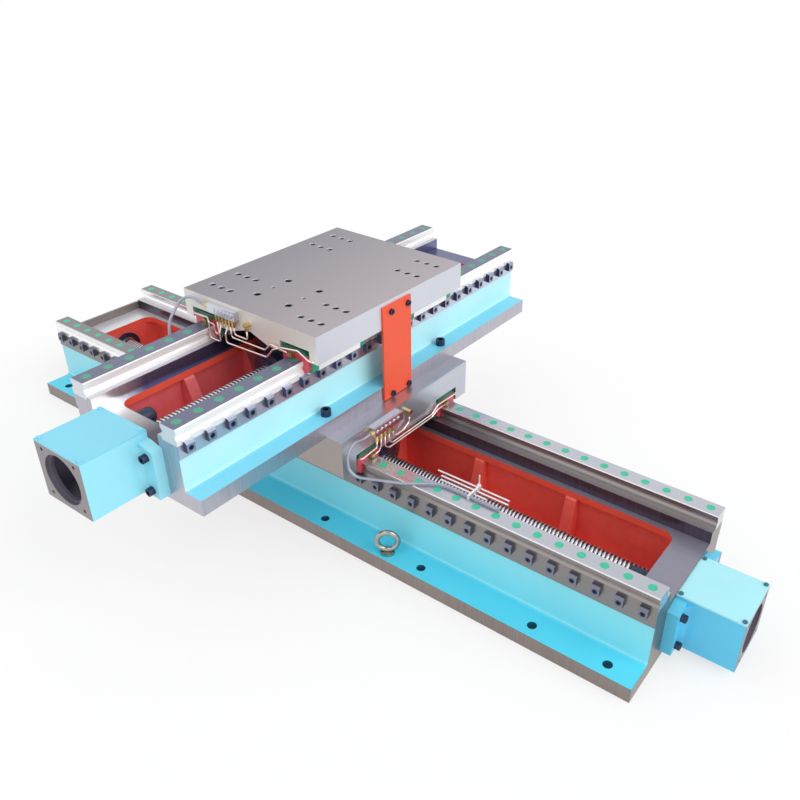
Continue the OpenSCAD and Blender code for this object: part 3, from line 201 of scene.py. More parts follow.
# Deck tones: painted light and shade, paler or darker by stage and by stretch of the deck
DECK_STEEL_AS_LIT = (srgb(152, 150, 166), srgb(250, 248, 246))
DECK_FAR_END_AS_LIT = (srgb(232, 233, 238), srgb(98, 94, 108))
DECK_STRETCH_SHADE = srgb(106, 108, 146)
FOOT_LIT_AT_MOTOR_END = srgb(238, 236, 240)
FOOT_SHADE = (srgb(100, 92, 104), srgb(118, 120, 156))
RAW_EDGE = (srgb(142, 132, 128), srgb(186, 184, 194))
BORE_SHADE = srgb(112, 106, 122)


def plain(name, colour, metallic, roughness, scale=60.0, amount=0.08, grain=0.0):
    g = Graph(name)
    spots = g.noise(scale)
    if grain:
        g.bump(g.noise(scale * 6.0), grain, 0.0004)
    return g.set(
        base_color=g.shade(colour, spots, amount),
        metallic=metallic,
        roughness=g.range(spots, roughness * 0.85, roughness * 1.15),
    )


def ground(name, colour, roughness, along, amount=0.05, metallic=1.0, top=None, end=None,
           far=None):
    """Ground metal: fine lines along one axis, slow patches, and other tones on the top
    and on the faces that look along Y, which are painted light and shade. far gives a stretch
    of X in mm, and the painted light and shade of the faces along Y and of the top on its low
    side."""
    stretch = [900.0, 900.0, 900.0]
    stretch[along] = 4.0
    g = Graph(name)
    lines = g.noise(1.0, 2.0, stretch=tuple(stretch))
    patches = g.noise(4.0, 4.0)
    both = g.math("ADD", g.math("MULTIPLY", lines, 0.55), g.math("MULTIPLY", patches, 0.45))
    g.bump(lines, 0.03, 0.0001)
    base = g.shade(colour, both, amount)
    end = g.shade(end or colour, both, amount)
    top = g.shade(top or colour, both, amount)
    if far:
        start, finish, far_end, far_top = far
        near = g.range(g.split(g.coordinates)[0], 0.0, 1.0, start * MM, finish * MM)
        end = g.mix(near, g.shade(far_end, both, amount), end)
        top = g.mix(near, g.shade(far_top, both, amount), top)
    base = g.mix(g.faces(1), base, end)
    base = g.mix(g.faces(2), base, top)
    return g.set(
        base_color=base,
        metallic=metallic,
        roughness=g.range(both, roughness * 0.85, roughness * 1.2),
    )


def bed_steel(g, stage, place, y, deck, inside):
    """Tones of a bed's machined faces, with painted light and shade on the deck, the strip
    sides and the seat walls, and of its ends and bare edges.
    """
    along = (4.0, 700.0, 700.0) if stage == 0 else (700.0, 4.0, 700.0)
    brushed = g.noise(1.0, 2.0, stretch=along)
    stains = g.noise(2.6, 5.0, 0.6)
    marks = g.noise(1.0, 1.0, stretch=(260.0, 260.0, 6.0))
    slow = g.math("ADD", g.math("MULTIPLY", brushed, 0.4), g.math("MULTIPLY", stains, 0.6))
    # Painted light and shade on the deck: paler towards the lower bed's far end, darker over
    # the upper deck's right side, and a darker bluish stretch over all but the upper motor
    # end
    if stage == 0:
        far_end = g.range(place[0], 1.0, 0.0, *FAR_DECK_FADE)
    else:
        far_end = g.range(place[1], 0.0, 1.0, *RIGHT_DECK_FADE)
    deck_light_and_shade = g.mix(far_end, g.shade(DECK_STEEL_AS_LIT[stage], slow, 0.14),
                       g.shade(DECK_FAR_END_AS_LIT[stage], slow, 0.06))
    # Painted shade on the inner walls below the rail seats, with a painted lit tone near the
    # upper motor end
    foot = g.shade(FOOT_SHADE[stage], marks, 0.12)
    if stage == 1:
        strip = g.range(place[0], 1.0, 0.0, *STRIP_FADE)
        deck_light_and_shade = g.mix(strip, deck_light_and_shade, g.shade(DECK_STRETCH_SHADE, slow, 0.14))
        foot = g.mix(strip, g.shade(FOOT_LIT_AT_MOTOR_END, marks, 0.05), foot)
    steel = g.mix(deck, g.shade(BARE_STEEL, slow, 0.08), deck_light_and_shade)
    # Painted light and shade: the outer sides of the rail strips, shaded on the lower bed and
    # lit on the upper
    side = g.faces(1 - stage)
    outside = g.math("GREATER_THAN", y, STRIP_HALF_WIDTH[stage] * MM - SKIN)
    steel = g.mix(g.math("MULTIPLY", side, outside), steel,
                  g.shade(STRIP_SIDE_AS_LIT[stage], slow, 0.08))
    steel = g.mix(g.math("MULTIPLY", side, inside), steel, foot)
    rough = g.math("ADD", g.math("MULTIPLY", marks, 0.45), g.math("MULTIPLY", stains, 0.55))
    return steel, g.shade(RAW_EDGE[stage], rough, 0.16)


def bed_blue(g, stage, place, soft):
    """Blue paint with painted light: one tone on the walls, another on the flanges, a paler
    one on the lower bed's walls towards its far end, and painted shade in the bolt holes.
    """
    upward = g.faces(2)
    wall = g.shade(WALL_PAINT_AS_LIT[stage], soft, 0.03)
    if stage == 0:
        # Painted light: the lower bed's walls paler towards the far end
        wall = g.mix(g.range(place[0], 1.0, 0.0, *FAR_PAINT_FADE), wall,
                     g.shade(WALL_PAINT_FAR_END_LIT, soft, 0.03))
    blue = g.mix(upward, wall, g.shade(TOP_PAINT_AS_LIT[stage], soft, 0.03))
    # Painted shade on the walls of the flange's bolt holes
    hole = g.math("MULTIPLY", g.math("LESS_THAN", place[2], FLANGE_THICKNESS * MM - SKIN),
                  g.math("SUBTRACT", 1.0, upward))
    return g.mix(hole, blue, PAINTED_SHADE_IN_HOLES)


def bed_paint(name, stage):
    """Cast bed: blue paint outside, red in the well, bare where it is machined."""
    g = Graph(name)
    place = g.in_stage(stage)
    x = g.math("ABSOLUTE", place[0])
    y = g.math("ABSOLUTE", place[1])
    z = place[2]
    end = g.math("GREATER_THAN", x, BED_LENGTH[stage] / 2 * MM - SKIN)
    edge = g.math("GREATER_THAN", y, FLANGE_WIDTH[stage] / 2 * MM - SKIN)
    top = g.math("GREATER_THAN", z, PAINT_TOP[stage] * MM - SKIN)
    underside = g.math("LESS_THAN", z, SKIN)
    raw = g.math("MAXIMUM", g.math("MAXIMUM", end, edge), underside)
    bare = g.math("MAXIMUM", raw, top)
    well = g.math("MULTIPLY", g.math("LESS_THAN", x, (WELL_LENGTH[stage] / 2 + 1.0) * MM),
                  g.math("LESS_THAN", y, WELL_HALF_WIDTH * MM))
    well = g.math("MULTIPLY", well, g.math("LESS_THAN", z, MIDDLE_Z[stage] * MM - SKIN))
    metal = g.math("MULTIPLY", bare, g.math("SUBTRACT", 1.0, well))
    deck = g.math("LESS_THAN", z, MIDDLE_Z[stage] * MM + SKIN)
    inside = g.math("LESS_THAN", y, STRIP_HALF_WIDTH[stage] * MM - SKIN)

    soft = g.noise(7.0, 4.0)
    grains = g.noise(260.0, 2.0)
    cast = g.noise(70.0, 4.0, 0.6)
    spread = g.math("ADD", g.math("MULTIPLY", soft, 0.6), g.math("MULTIPLY", cast, 0.4))
    # Painted light: the lip takes its own tone for the lit band along the top of the well;
    # the upper well's pinker red is a painted reflection
    lip = g.math("GREATER_THAN", z, (MIDDLE_Z[stage] - LIP_HEIGHT) * MM)
    red = g.mix(lip, g.shade(WELL_RED_AND_SHEEN[stage], spread, 0.16), g.shade(WELL_LIP_LIT, spread, 0.06))
    steel, raw_steel = bed_steel(g, stage, place, y, deck, inside)
    colour = g.mix(bare, bed_blue(g, stage, place, soft), g.mix(raw, steel, raw_steel))
    colour = g.mix(well, colour, red)

    bumps = g.math("ADD", g.math("MULTIPLY", grains, 0.35), g.math("MULTIPLY", cast, well))
    g.bump(g.math("MULTIPLY", bumps, g.math("SUBTRACT", 1.0, metal)), 0.25, 0.0012)
    rough = g.math("ADD", g.math("MULTIPLY", metal, -0.04), g.range(soft, 0.32, 0.4))
    rough = g.math("ADD", rough, g.math("MULTIPLY", well, 0.08))
    flat = g.math("MULTIPLY", g.math("MULTIPLY", deck, inside), g.math("SUBTRACT", 1.0, raw))
    metallic = g.math("MULTIPLY", metal, g.range(flat, 0.92, 0.6, 0.0, 1.0))
    return g.set(base_color=colour, metallic=metallic, roughness=rough)


def bracket_paint(name, stage):
    """Motor bracket: blue paint in a tone with painted light, the motor's face left bare, and
    painted shade inside.
    """
    g = Graph(name)
    place = g.in_stage(stage)
    skin = 0.6 * MM
    face = g.math("GREATER_THAN", place[0] if stage == 0 else g.math("ABSOLUTE", place[0]),
                  (BED_LENGTH[stage] / 2 + BRACKET_LENGTH) * MM - skin)
    low, high = BRACKET_Z[stage]
    inside = g.math("LESS_THAN", g.math("ABSOLUTE", place[1]), BRACKET_HALF_WIDTH * MM - skin)
    inside = g.math("MULTIPLY", inside, g.math("GREATER_THAN", place[2], low * MM + skin))
    inside = g.math("MULTIPLY", inside, g.math("LESS_THAN", place[2], high * MM - skin))
    soft = g.noise(9.0, 4.0)
    g.bump(g.noise(260.0, 2.0), 0.08, 0.0006)
    # Painted shade on the bracket's bores and inner faces
    colour = g.mix(inside, g.shade(BRACKET_PAINT_AS_LIT[stage], soft, 0.03),
                   g.shade(BORE_SHADE, soft, 0.15))
    colour = g.mix(face, colour, g.shade(srgb(146, 140, 142), soft, 0.1))
    return g.set(
        base_color=colour,
        metallic=g.math("MULTIPLY", face, 0.7),
        roughness=g.range(soft, 0.34, 0.42),
    )


def wiper_plastic(name):
    """Wiper: red, under the green strip of the seal along its top."""
    g = Graph(name)
    soft = g.noise(60.0)
    height = g.math("FLOORED_MODULO", g.split(g.coordinates)[2], STAGE_SHIFT * MM)
    strip = g.math("GREATER_THAN", height, WIPER_STRIP_Z * MM)
    colour = g.mix(strip, g.shade(srgb(208, 70, 92), soft, 0.08),
                   g.shade(srgb(32, 110, 88), soft, 0.08))
    return g.set(base_color=colour, roughness=g.range(soft, 0.3, 0.38))


def table_steel(name):
    """Ground table: pale sides, paler still on the faces along Y, and a greyer top lighter
    towards +X, partly finish and partly painted light;
    bolt holes with a painted highlight on the rim and painted shade below it."""
    g = Graph(name)
    lines = g.noise(1.0, 2.0, stretch=(900.0, 4.0, 900.0))
    patches = g.noise(2.2, 4.0)
    both = g.math("ADD", g.math("MULTIPLY", lines, 0.4), g.math("MULTIPLY", patches, 0.6))
    g.bump(lines, 0.03, 0.0001)
    place = g.split(g.coordinates)
    low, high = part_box("table")
    edge = 2.0 * MM
    hole_start, rim_depth, hole_depth = 0.3 * MM, 3.4 * MM, 40.0 * MM
    hole = g.math("MULTIPLY", g.math("LESS_THAN", place[2], high[2] - hole_start),
                  g.math("GREATER_THAN", place[2], high[2] - hole_depth))
    for axis in (0, 1):
        hole = g.math("MULTIPLY", hole, g.math("GREATER_THAN", place[axis], low[axis] + edge))
        hole = g.math("MULTIPLY", hole, g.math("LESS_THAN", place[axis], high[axis] - edge))
    base = g.mix(g.faces(1), g.shade(srgb(210, 213, 223), both, 0.04),
                 g.shade(srgb(236, 233, 226), both, 0.03))
    # Painted light: the top lighter towards +X
    top_light_ramp = g.range(place[0], 0.0, 1.0, low[0], high[0])
    top = g.mix(top_light_ramp, g.shade(srgb(142, 136, 147), both, 0.06),
                g.shade(srgb(178, 170, 175), both, 0.06))
    base = g.mix(g.faces(2), base, top)
    # Painted highlight on the holes' rims, and painted shade further down
    shaded_below_rim = g.math("LESS_THAN", place[2], high[2] - rim_depth)
    base = g.mix(hole, base, g.mix(shaded_below_rim, srgb(253, 253, 255), srgb(34, 32, 44)))
    return g.set(base_color=base, metallic=g.range(g.faces(2), 0.2, 0.5, 0.0, 1.0),
                 roughness=g.range(both, 0.28, 0.4))


def thread_steel(name, stage):
    """Ball screw: bright lands, and painted shade in the groove between them."""
    g = Graph(name)
    place = g.split(g.coordinates)
    if stage == 0:
        along = place[0]
        side = place[1]
        height = g.math("SUBTRACT", place[2], SCREW_Z[0] * MM)
    else:
        along = g.math("MULTIPLY", place[1], -1.0)
        side = g.math("SUBTRACT", place[0], SADDLE_X * MM)
        height = g.math("SUBTRACT", place[2], (UPPER_Z + SCREW_Z[1]) * MM)
    angle = g.math("MULTIPLY", g.math("ARCTAN2", height, side), 1.0 / (2.0 * math.pi))
    phase = g.math("FRACT", g.math("ADD", g.math("SUBTRACT", g.math(
        "MULTIPLY", along, 1.0 / (SCREW_LEAD * MM)), angle), 1000.0))
    # Painted shade in the groove between the lands
    groove = g.range(g.math("ABSOLUTE", g.math("SUBTRACT", phase, 0.5)), 1.0, 0.0, 0.16, 0.36)
    soft = g.noise(60.0)
    colour = g.mix(groove, g.shade(srgb(232, 232, 236), soft, 0.04),
                   g.shade(srgb(92, 88, 98), soft, 0.12))
    return g.set(base_color=colour, metallic=0.9, roughness=g.range(soft, 0.2, 0.3))


def hose_skin(name, colour):
    """Braided metal sleeve: fine crossed strands over slow patches."""
    g = Graph(name)
    strands = g.noise(900.0, 1.0)
    patches = g.noise(30.0)
    g.bump(strands, 0.3, 0.0004)
    return g.set(
        base_color=g.shade(colour, g.math("ADD", g.math("MULTIPLY", strands, 0.6),
                                          g.math("MULTIPLY", patches, 0.4)), 0.18),
        metallic=0.55,
        roughness=g.range(patches, 0.3, 0.42),
    )


def paint_nodes(material, *names):
    for name in names:
        slots = nodes[name].data.materials
        slots.clear()
        slots.append(material)


paint_nodes(bed_paint("lower_bed_paint", 0), "lower_bed")
paint_nodes(bed_paint("upper_bed_paint", 1), "upper_bed")
paint_nodes(bracket_paint("lower_bracket_paint", 0), "lower_motor_bracket")
paint_nodes(bracket_paint("upper_bracket_paint", 1), "upper_motor_bracket")
# Painted light: the bracket covers take paler, lit copies of the bracket paint
paint_nodes(plain("lower_cover_paint", srgb(178, 243, 253), 0.0, 0.38, 9.0, 0.03, 0.06),
            "lower_bracket_cover")
paint_nodes(plain("upper_cover_paint", TOP_PAINT_AS_LIT[1], 0.0, 0.38, 9.0, 0.03, 0.06),
            "upper_bracket_cover", "upper_cover_screws")
paint_nodes(plain("screw_paint", srgb(52, 112, 134), 0.0, 0.38), "lower_cover_screws")
# Painted shade: the saddle's faces along Y darker than its sides
paint_nodes(ground("saddle_steel", srgb(200, 202, 212), 0.3, 1, 0.07, 0.85,
                   top=srgb(196, 196, 206), end=srgb(166, 158, 154)), "saddle")
paint_nodes(table_steel("table_steel"), "table")
paint_nodes(ground("manifold_steel", srgb(214, 216, 224), 0.28, 1),
            "saddle_manifold", "table_manifold")
# Painted light and shade: the lower rails' faces along Y darker, and towards the far end
# their faces along Y near white with dark tops, a painted reflection
paint_nodes(ground("lower_rail_steel", srgb(214, 212, 216), 0.26, 0, 0.06, 0.8,
                   top=srgb(202, 204, 214), end=srgb(140, 134, 132),
                   far=(-480.0, -260.0, srgb(248, 247, 248), srgb(140, 138, 142))),
            "lower_rail_front", "lower_rail_rear", "lower_carriages", "lower_bearings")
# Painted light and shade: the upper rails' sides near white and their tops dark
paint_nodes(ground("upper_rail_steel", srgb(254, 254, 255), 0.3, 1, 0.02, 0.25,
                   top=srgb(110, 114, 138), end=srgb(230, 229, 234)),
            "upper_rail_left", "upper_rail_right", "upper_carriages", "upper_bearings")
paint_nodes(plain("black_steel", srgb(48, 60, 88), 0.6, 0.36),
            "lower_rail_bolts", "upper_rail_bolts", "lower_clamp_screws",
            "upper_clamp_screws", "saddle_bolts", "upper_bed_bolts",
            "lower_bracket_bolts", "upper_bracket_bolts", "lock_screws",
            "lower_fixed_sleeve", "upper_fixed_sleeve", "lower_support_sleeve",
            "upper_support_sleeve")
# Painted shade: the table's bolts darker than the other black bolts, sunk in their
# counterbores
paint_nodes(plain("sunk_steel_shaded", srgb(30, 30, 42), 0.3, 0.5), "table_bolts")
# Painted light and shade: the lower clamps in a shaded tone, the upper ones lit with dark
# faces along Y
paint_nodes(ground("lower_clamp_steel", srgb(112, 114, 128), 0.34, 0, 0.1, 0.85,
                   top=srgb(104, 108, 124), end=srgb(128, 130, 144)), "lower_clamps")
paint_nodes(ground("upper_clamp_steel", srgb(158, 164, 186), 0.34, 1, 0.1, 0.85,
                   top=srgb(196, 200, 216), end=srgb(66, 72, 100)), "upper_clamps")
paint_nodes(plain("nut_iron", srgb(52, 56, 80), 0.5, 0.42), "lower_nut_housing",
            "upper_nut_housing")
paint_nodes(plain("nut_steel", srgb(96, 102, 132), 0.8, 0.3), "lower_ball_nut",
            "upper_ball_nut")
paint_nodes(plain("end_plate_steel", srgb(134, 124, 120), 0.3, 0.42), "lower_end_plate")
paint_nodes(plain("cap_plastic", srgb(64, 196, 158), 0.0, 0.42, amount=0.05),
            "lower_rail_caps")
# Painted shade: a darker, greyer copy of the cap plastic on the upper rails' tops
paint_nodes(plain("shaded_cap_plastic", srgb(76, 164, 136), 0.0, 0.42, amount=0.05),
            "upper_rail_caps")
paint_nodes(plain("seal_plastic", srgb(52, 158, 124), 0.0, 0.4),
            "lower_return_caps", "upper_return_caps")
paint_nodes(wiper_plastic("wiper_plastic"), "lower_wipers", "upper_wipers")
paint_nodes(plain("lock_paint", srgb(243, 86, 46), 0.0, 0.38, 12.0, 0.04, 0.06), "lock_plate")
paint_nodes(plain("fitting_brass", srgb(218, 190, 128), 1.0, 0.26),
            "saddle_fittings", "table_fittings", "hose_union")
paint_nodes(plain("loose_pipe_metal", srgb(236, 228, 232), 0.85, 0.22), "loose_pipes")
paint_nodes(plain("tie_plastic", srgb(238, 240, 242), 0.0, 0.4), "hose_tie")
paint_nodes(plain("eye_nickel", srgb(172, 172, 164), 1.0, 0.18, 90.0, 0.16), "lifting_eyes")


# New pieces

def new_object(name, data):
    made = bpy.data.objects.new(name, data)
    bpy.context.scene.collection.objects.link(made)
    return made


def new_piece(name, mesh, body, node=None):
    """A piece that rides on a body, in the place of a CAD node if one is named."""
    piece = new_object(name, mesh)
    if node:
        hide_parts(node)
    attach(piece, body)
    return piece


def ring_faces(count, sides):
    """The faces between rings of points that follow each other."""
    faces = []
    for i in range(count - 1):
        for k in range(sides):
            a, b = i * sides + k, i * sides + (k + 1) % sides
            faces.append((a, b, b + sides, a + sides))
    return faces


def stage_place(stage):
    """Takes a point in a stage's own frame, with its motor at the high end of X, to the
    shared one."""
    if stage == 0:
        return Matrix.Identity(4)
    return (Matrix.Translation((SADDLE_X * MM, 0.0, UPPER_Z * MM))
            @ Matrix.Rotation(-math.pi / 2, 4, "Z"))


# Screw threads

SCREW_RADIUS = (25.0, 20.0)
TAIL_RADIUS = (14.95, 9.95)
SHAFT_RADIUS = (17.45, 12.45)
JOURNAL_RADIUS = (14.0, 10.0)
SHAFT_PAST_BED = 14.0
SLEEVE_NOSE = 6.0
THREAD_GAP = 3.0
THREAD_DEPTH = 2.4
GROOVE_HALF_WIDTH = 0.34
SCREW_SIDES = 28
RINGS_PER_LEAD = 8


def thread_radius(stage, x, turn, fade):
    """Radius of the rolled thread at x along the screw and turn, 0 to 1, round it."""
    phase = (x / (SCREW_LEAD * MM) - turn) % 1.0
    groove = max(0.0, 1.0 - (abs(phase - 0.5) / GROOVE_HALF_WIDTH) ** 2)
    return (SCREW_RADIUS[stage] - THREAD_DEPTH * groove * fade) * MM


def threaded_screw(name, node, body, stage):
    """The ball screw with its rolled thread, made along X and then set in its stage."""
    low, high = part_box(node)
    start, finish = (low[0], high[0]) if stage == 0 else (-high[1], -low[1])
    thread_end = (BED_LENGTH[stage] / 2 - END_WALL[stage] - SLEEVE_NOSE - THREAD_GAP) * MM
    thread_start = -thread_end
    shaft_end = (BED_LENGTH[stage] / 2 + SHAFT_PAST_BED) * MM
    tail = TAIL_RADIUS[stage] * MM
    shaft = SHAFT_RADIUS[stage] * MM
    journal = JOURNAL_RADIUS[stage] * MM
    before = [(start, 0.0), (start, tail), (thread_start, tail)]
    after = [(thread_end, shaft), (shaft_end, shaft), (shaft_end, journal),
             (finish, journal), (finish, 0.0)]
    turns = [k / SCREW_SIDES for k in range(SCREW_SIDES)]
    steps = int((thread_end - thread_start) / (SCREW_LEAD * MM) * RINGS_PER_LEAD)
    rings = [(x, [r] * SCREW_SIDES) for x, r in before]
    for i in range(steps + 1):
        x = thread_start + (thread_end - thread_start) * i / steps
        fade = min(1.0, i / RINGS_PER_LEAD, (steps - i) / RINGS_PER_LEAD)
        rings.append((x, [thread_radius(stage, x, turn, fade) for turn in turns]))
    rings += [(x, [r] * SCREW_SIDES) for x, r in after]
    points = [(x, r * math.cos(2 * math.pi * turn), r * math.sin(2 * math.pi * turn))
              for x, radii in rings for turn, r in zip(turns, radii)]
    mesh = bpy.data.meshes.new(name)
    mesh.from_pydata(points, [], ring_faces(len(rings), SCREW_SIDES))
    mesh.transform(stage_place(stage) @ Matrix.Translation((0.0, 0.0, SCREW_Z[stage] * MM)))
    mesh.validate()
    for polygon in mesh.polygons:
        polygon.use_smooth = True
    mesh.materials.append(thread_steel(name + "_steel", stage))
    new_piece(name, mesh, body, node)


threaded_screw("lower_thread", "lower_ball_screw", "lower_screw", 0)
threaded_screw("upper_thread", "upper_ball_screw", "upper_screw", 1)


# Fixed bearing sleeves and rubber buffers at the motor ends of the wells

BUFFER_Y = -47.0
BUFFER_Z = (134.0, 96.0)
BUFFER_SIDES = 32
# Steps out from the wall, each with its radius: the steel cup, then the rubber
BUFFER_PROFILE = [(0.0, 0.0), (0.0, 20.0), (9.0, 20.0), (10.0, 19.0), (10.0, 17.0),
                  (12.0, 18.5), (36.0, 18.5), (41.0, 17.0), (44.0, 13.5), (45.0, 8.0),
                  (43.0, 6.0), (43.0, 0.0)]


def short_sleeve(name, node, body, stage):
    """The fixed bearing sleeve, its nose cut back to leave the thread in view."""
    mesh = nodes[node].data.copy()
    axis, sign = ((0, 1.0), (1, -1.0))[stage]
    nose = (BED_LENGTH[stage] / 2 - END_WALL[stage] - SLEEVE_NOSE) * MM
    for vertex in mesh.vertices:
        vertex.co[axis] = sign * max(nose, sign * vertex.co[axis])
    new_piece(name, mesh, body, node)


def buffer(name, body, stage):
    """Rubber buffer in its cup, on the well's motor end beside the screw."""
    points = []
    for out, radius in BUFFER_PROFILE:
        for k in range(BUFFER_SIDES):
            angle = 2 * math.pi * k / BUFFER_SIDES
            points.append(Vector((WELL_LENGTH[stage] / 2 - out,
                                  BUFFER_Y + radius * math.cos(angle),
                                  BUFFER_Z[stage] + radius * math.sin(angle))) * MM)
    mesh = bpy.data.meshes.new(name)
    mesh.from_pydata(points, [], ring_faces(len(BUFFER_PROFILE), BUFFER_SIDES))
    mesh.transform(stage_place(stage))
    work = bmesh.new()
    work.from_mesh(mesh)
    bmesh.ops.remove_doubles(work, verts=work.verts, dist=0.01 * MM)
    bmesh.ops.recalc_face_normals(work, faces=work.faces)
    work.to_mesh(mesh)
    work.free()
    for polygon in mesh.polygons:
        polygon.use_smooth = True
    mesh.set_sharp_from_angle(angle=math.radians(40))
    mesh.materials.append(plain(name + "_rubber", srgb(44, 54, 84), 0.0, 0.42, 80.0, 0.12))
    new_piece(name, mesh, body)


short_sleeve("lower_sleeve_short", "lower_fixed_sleeve", "lower_bed", 0)
short_sleeve("upper_sleeve_short", "upper_fixed_sleeve", "saddle", 1)
buffer("lower_buffer", "lower_bed", 0)
buffer("upper_buffer", "saddle", 1)


# Oil pipes and supply hoses, on the routes that part.scad gives them

PIPE_RADIUS = 2.0
PIPE_BEND = 6.0
PIPE_SIDES = 16
PIPE_ARC_STEP = 8.0
HOSE_RADIUS = 3.5
HOSE_RIB = 0.28
HOSE_RIB_PITCH = 3.0
HOSE_SIDES = 14
HOSE_ARC_STEP = 2.0
HOSE_RING_STEP = 0.6
ROUTE_ARC_STEP = 16.0
RAIL_TOP = 224.0
SADDLE_FACE = Vector((244.0, 0.0, 314.5))
TABLE_FACE = Vector((-9.0, -259.0, 572.5))
HOSE_Z = RAIL_TOP - 314.5 + HOSE_RADIUS + 1.8
HOSE_Y = -139.0
LEDGE_X = -231.5
LEDGE_Z = 314.5 + HOSE_RADIUS + 0.3 - 572.5
UNION_Z = LEDGE_Z - HOSE_RADIUS + 6.0 * math.cos(math.radians(30))

SADDLE_START = -50.5
TABLE_START = -47.5
SADDLE_PIPES = [
    [(8, -134, SADDLE_START), (8, -134, -68), (8, -190, -72), (-1.7, -190, -72)],
    [(8, -119, SADDLE_START), (8, -119, -70), (8, -127, -82), (8, -142.8, -82)],
    [(8, -104, SADDLE_START), (8, -104, -80), (8, -90, -92), (8, 84, -92), (8, 110, -81),
     (8, 142.8, -82)],
    [(8, -89, SADDLE_START), (8, -89, -72), (8, -76, -84), (8, 84, -84), (8, 110, -68),
     (8, 190, -71), (-1.7, 190, -71)],
    [(8, -74, SADDLE_START), (8, -74, -62), (8, -62, -70), (8, -34, -70), (8, -10, -58),
     (8, -10, -42.1)],
]
TABLE_PIPES = [
    [(-93, -8, TABLE_START), (-93, -8, -82), (-105, -8, -82), (-107, -8, -60),
     (-130.3, -8, -60)],
    [(-82, -8, TABLE_START), (-82, -8, -54), (-79, -17, -70), (-79, -17, -93),
     (-112, -17, -93), (-113, -17, -50), (-126, -9, -48), (-173.5, -9, -50),
     (-173.5, 0.7, -50)],
    [(-60, -8, TABLE_START), (-60, -8, -54), (-60, -16, -68), (-60, -16, -90), (70, -16, -85),
     (93, -16, -59), (120, -14, -47), (161.5, -8, -44), (189.5, -8, -57), (202.5, -8, -60),
     (202.5, -0.4, -60)],
    [(-49, -8, TABLE_START), (-49, -8, -76), (58, -8, -74), (79, -8, -54), (130, -8, -59)],
    [(-38, -8, TABLE_START), (-38, -8, -66), (4, -8, -66), (4, -8, -44.1)],
]

SADDLE_HOSE = [
    (8, -157.2, -19.5), (8, -184, -19.5), (12, -241, -3), (16, -243, HOSE_Z),
    (128, -192, HOSE_Z), (200, HOSE_Y, HOSE_Z), (358, HOSE_Y, HOSE_Z),
]
SADDLE_HOSE_BENDS = [60, 30, 30, 90, 80]
TABLE_HOSE = [
    (-130.2, -8, -16.5), (-148, -8, -16.5), (-192, -12, 0), (-197, -64, -58),
    (-198, -74, -150), (LEDGE_X, 35, LEDGE_Z), (LEDGE_X, 320, LEDGE_Z),
    (LEDGE_X, 350, UNION_Z), (LEDGE_X, 370, UNION_Z),
]
TABLE_HOSE_BENDS = [40, 28, 60, 70, 70, 70, 70]


def bent(corners, bends, step):
    """Straight legs between the corners, with an arc at each, a point every step degrees."""
    points = [corners[0]]
    for before, corner, after, radius in zip(corners, corners[1:], corners[2:], bends):
        u = (before - corner).normalized()
        w = (after - corner).normalized()
        turn = math.pi - u.angle(w)
        centre = corner + (u + w).normalized() * radius / math.cos(turn / 2)
        first = corner + u * radius * math.tan(turn / 2) - centre
        last = corner + w * radius * math.tan(turn / 2) - centre
        steps = max(1, math.ceil(math.degrees(turn) / step))
        for k in range(steps + 1):
            t = k / steps
            points.append(centre + (math.sin((1 - t) * turn) * first
                                    + math.sin(t * turn) * last) / math.sin(turn))
    return points + [corners[-1]]


def spaced(points, step):
    """The same route with a point every step along it."""
    out = [points[0]]
    for a, b in zip(points, points[1:]):
        count = max(1, round((b - a).length / step))
        out += [a.lerp(b, k / count) for k in range(1, count + 1)]
    return out


def tube(line, radius, sides, rib=0.0, pitch=1.0):
    """Points and faces of a round tube along a line, with a fine wound rib if asked."""
    vertices, run, side = [], 0.0, None
    for i, point in enumerate(line):
        tangent = (line[min(i + 1, len(line) - 1)] - line[max(i - 1, 0)]).normalized()
        if i:
            run += (point - line[i - 1]).length
        side = tangent.orthogonal() if side is None else side - tangent * side.dot(tangent)
        side.normalize()
        other = tangent.cross(side)
        for k in range(sides):
            angle = 2 * math.pi * k / sides
            wave = 0.5 - 0.5 * math.cos(2 * math.pi * (run / pitch - k / sides))
            r = radius - rib * wave
            vertices.append(point + side * r * math.cos(angle) + other * r * math.sin(angle))
    first_cap = tuple(range(sides))[::-1]
    last_cap = tuple(range((len(line) - 1) * sides, len(line) * sides))
    return vertices, [first_cap, *ring_faces(len(line), sides), last_cap]


def tube_piece(name, node, body, tubes, material):
    mesh = bpy.data.meshes.new(name)
    vertices, faces = [], []
    for points, rings in tubes:
        first = len(vertices)
        vertices += points
        faces += [tuple(first + i for i in face) for face in rings]
    mesh.from_pydata(vertices, [], faces)
    for polygon in mesh.polygons:
        polygon.use_smooth = len(polygon.vertices) == 4
    mesh.materials.append(material)
    return new_piece(name, mesh, body, node)


def pipes(name, node, body, face, routes):
    """Rigid oil pipes, bent with the same radius at each corner."""
    tubes = []
    for corners in routes:
        corners = [(face + Vector(c)) * MM for c in corners]
        line = bent(corners, [PIPE_BEND * MM] * len(corners), PIPE_ARC_STEP)
        tubes.append(tube(line, PIPE_RADIUS * MM, PIPE_SIDES))
    tube_piece(name, node, body, tubes,
               plain(name + "_metal", srgb(250, 226, 218), 0.7, 0.22))


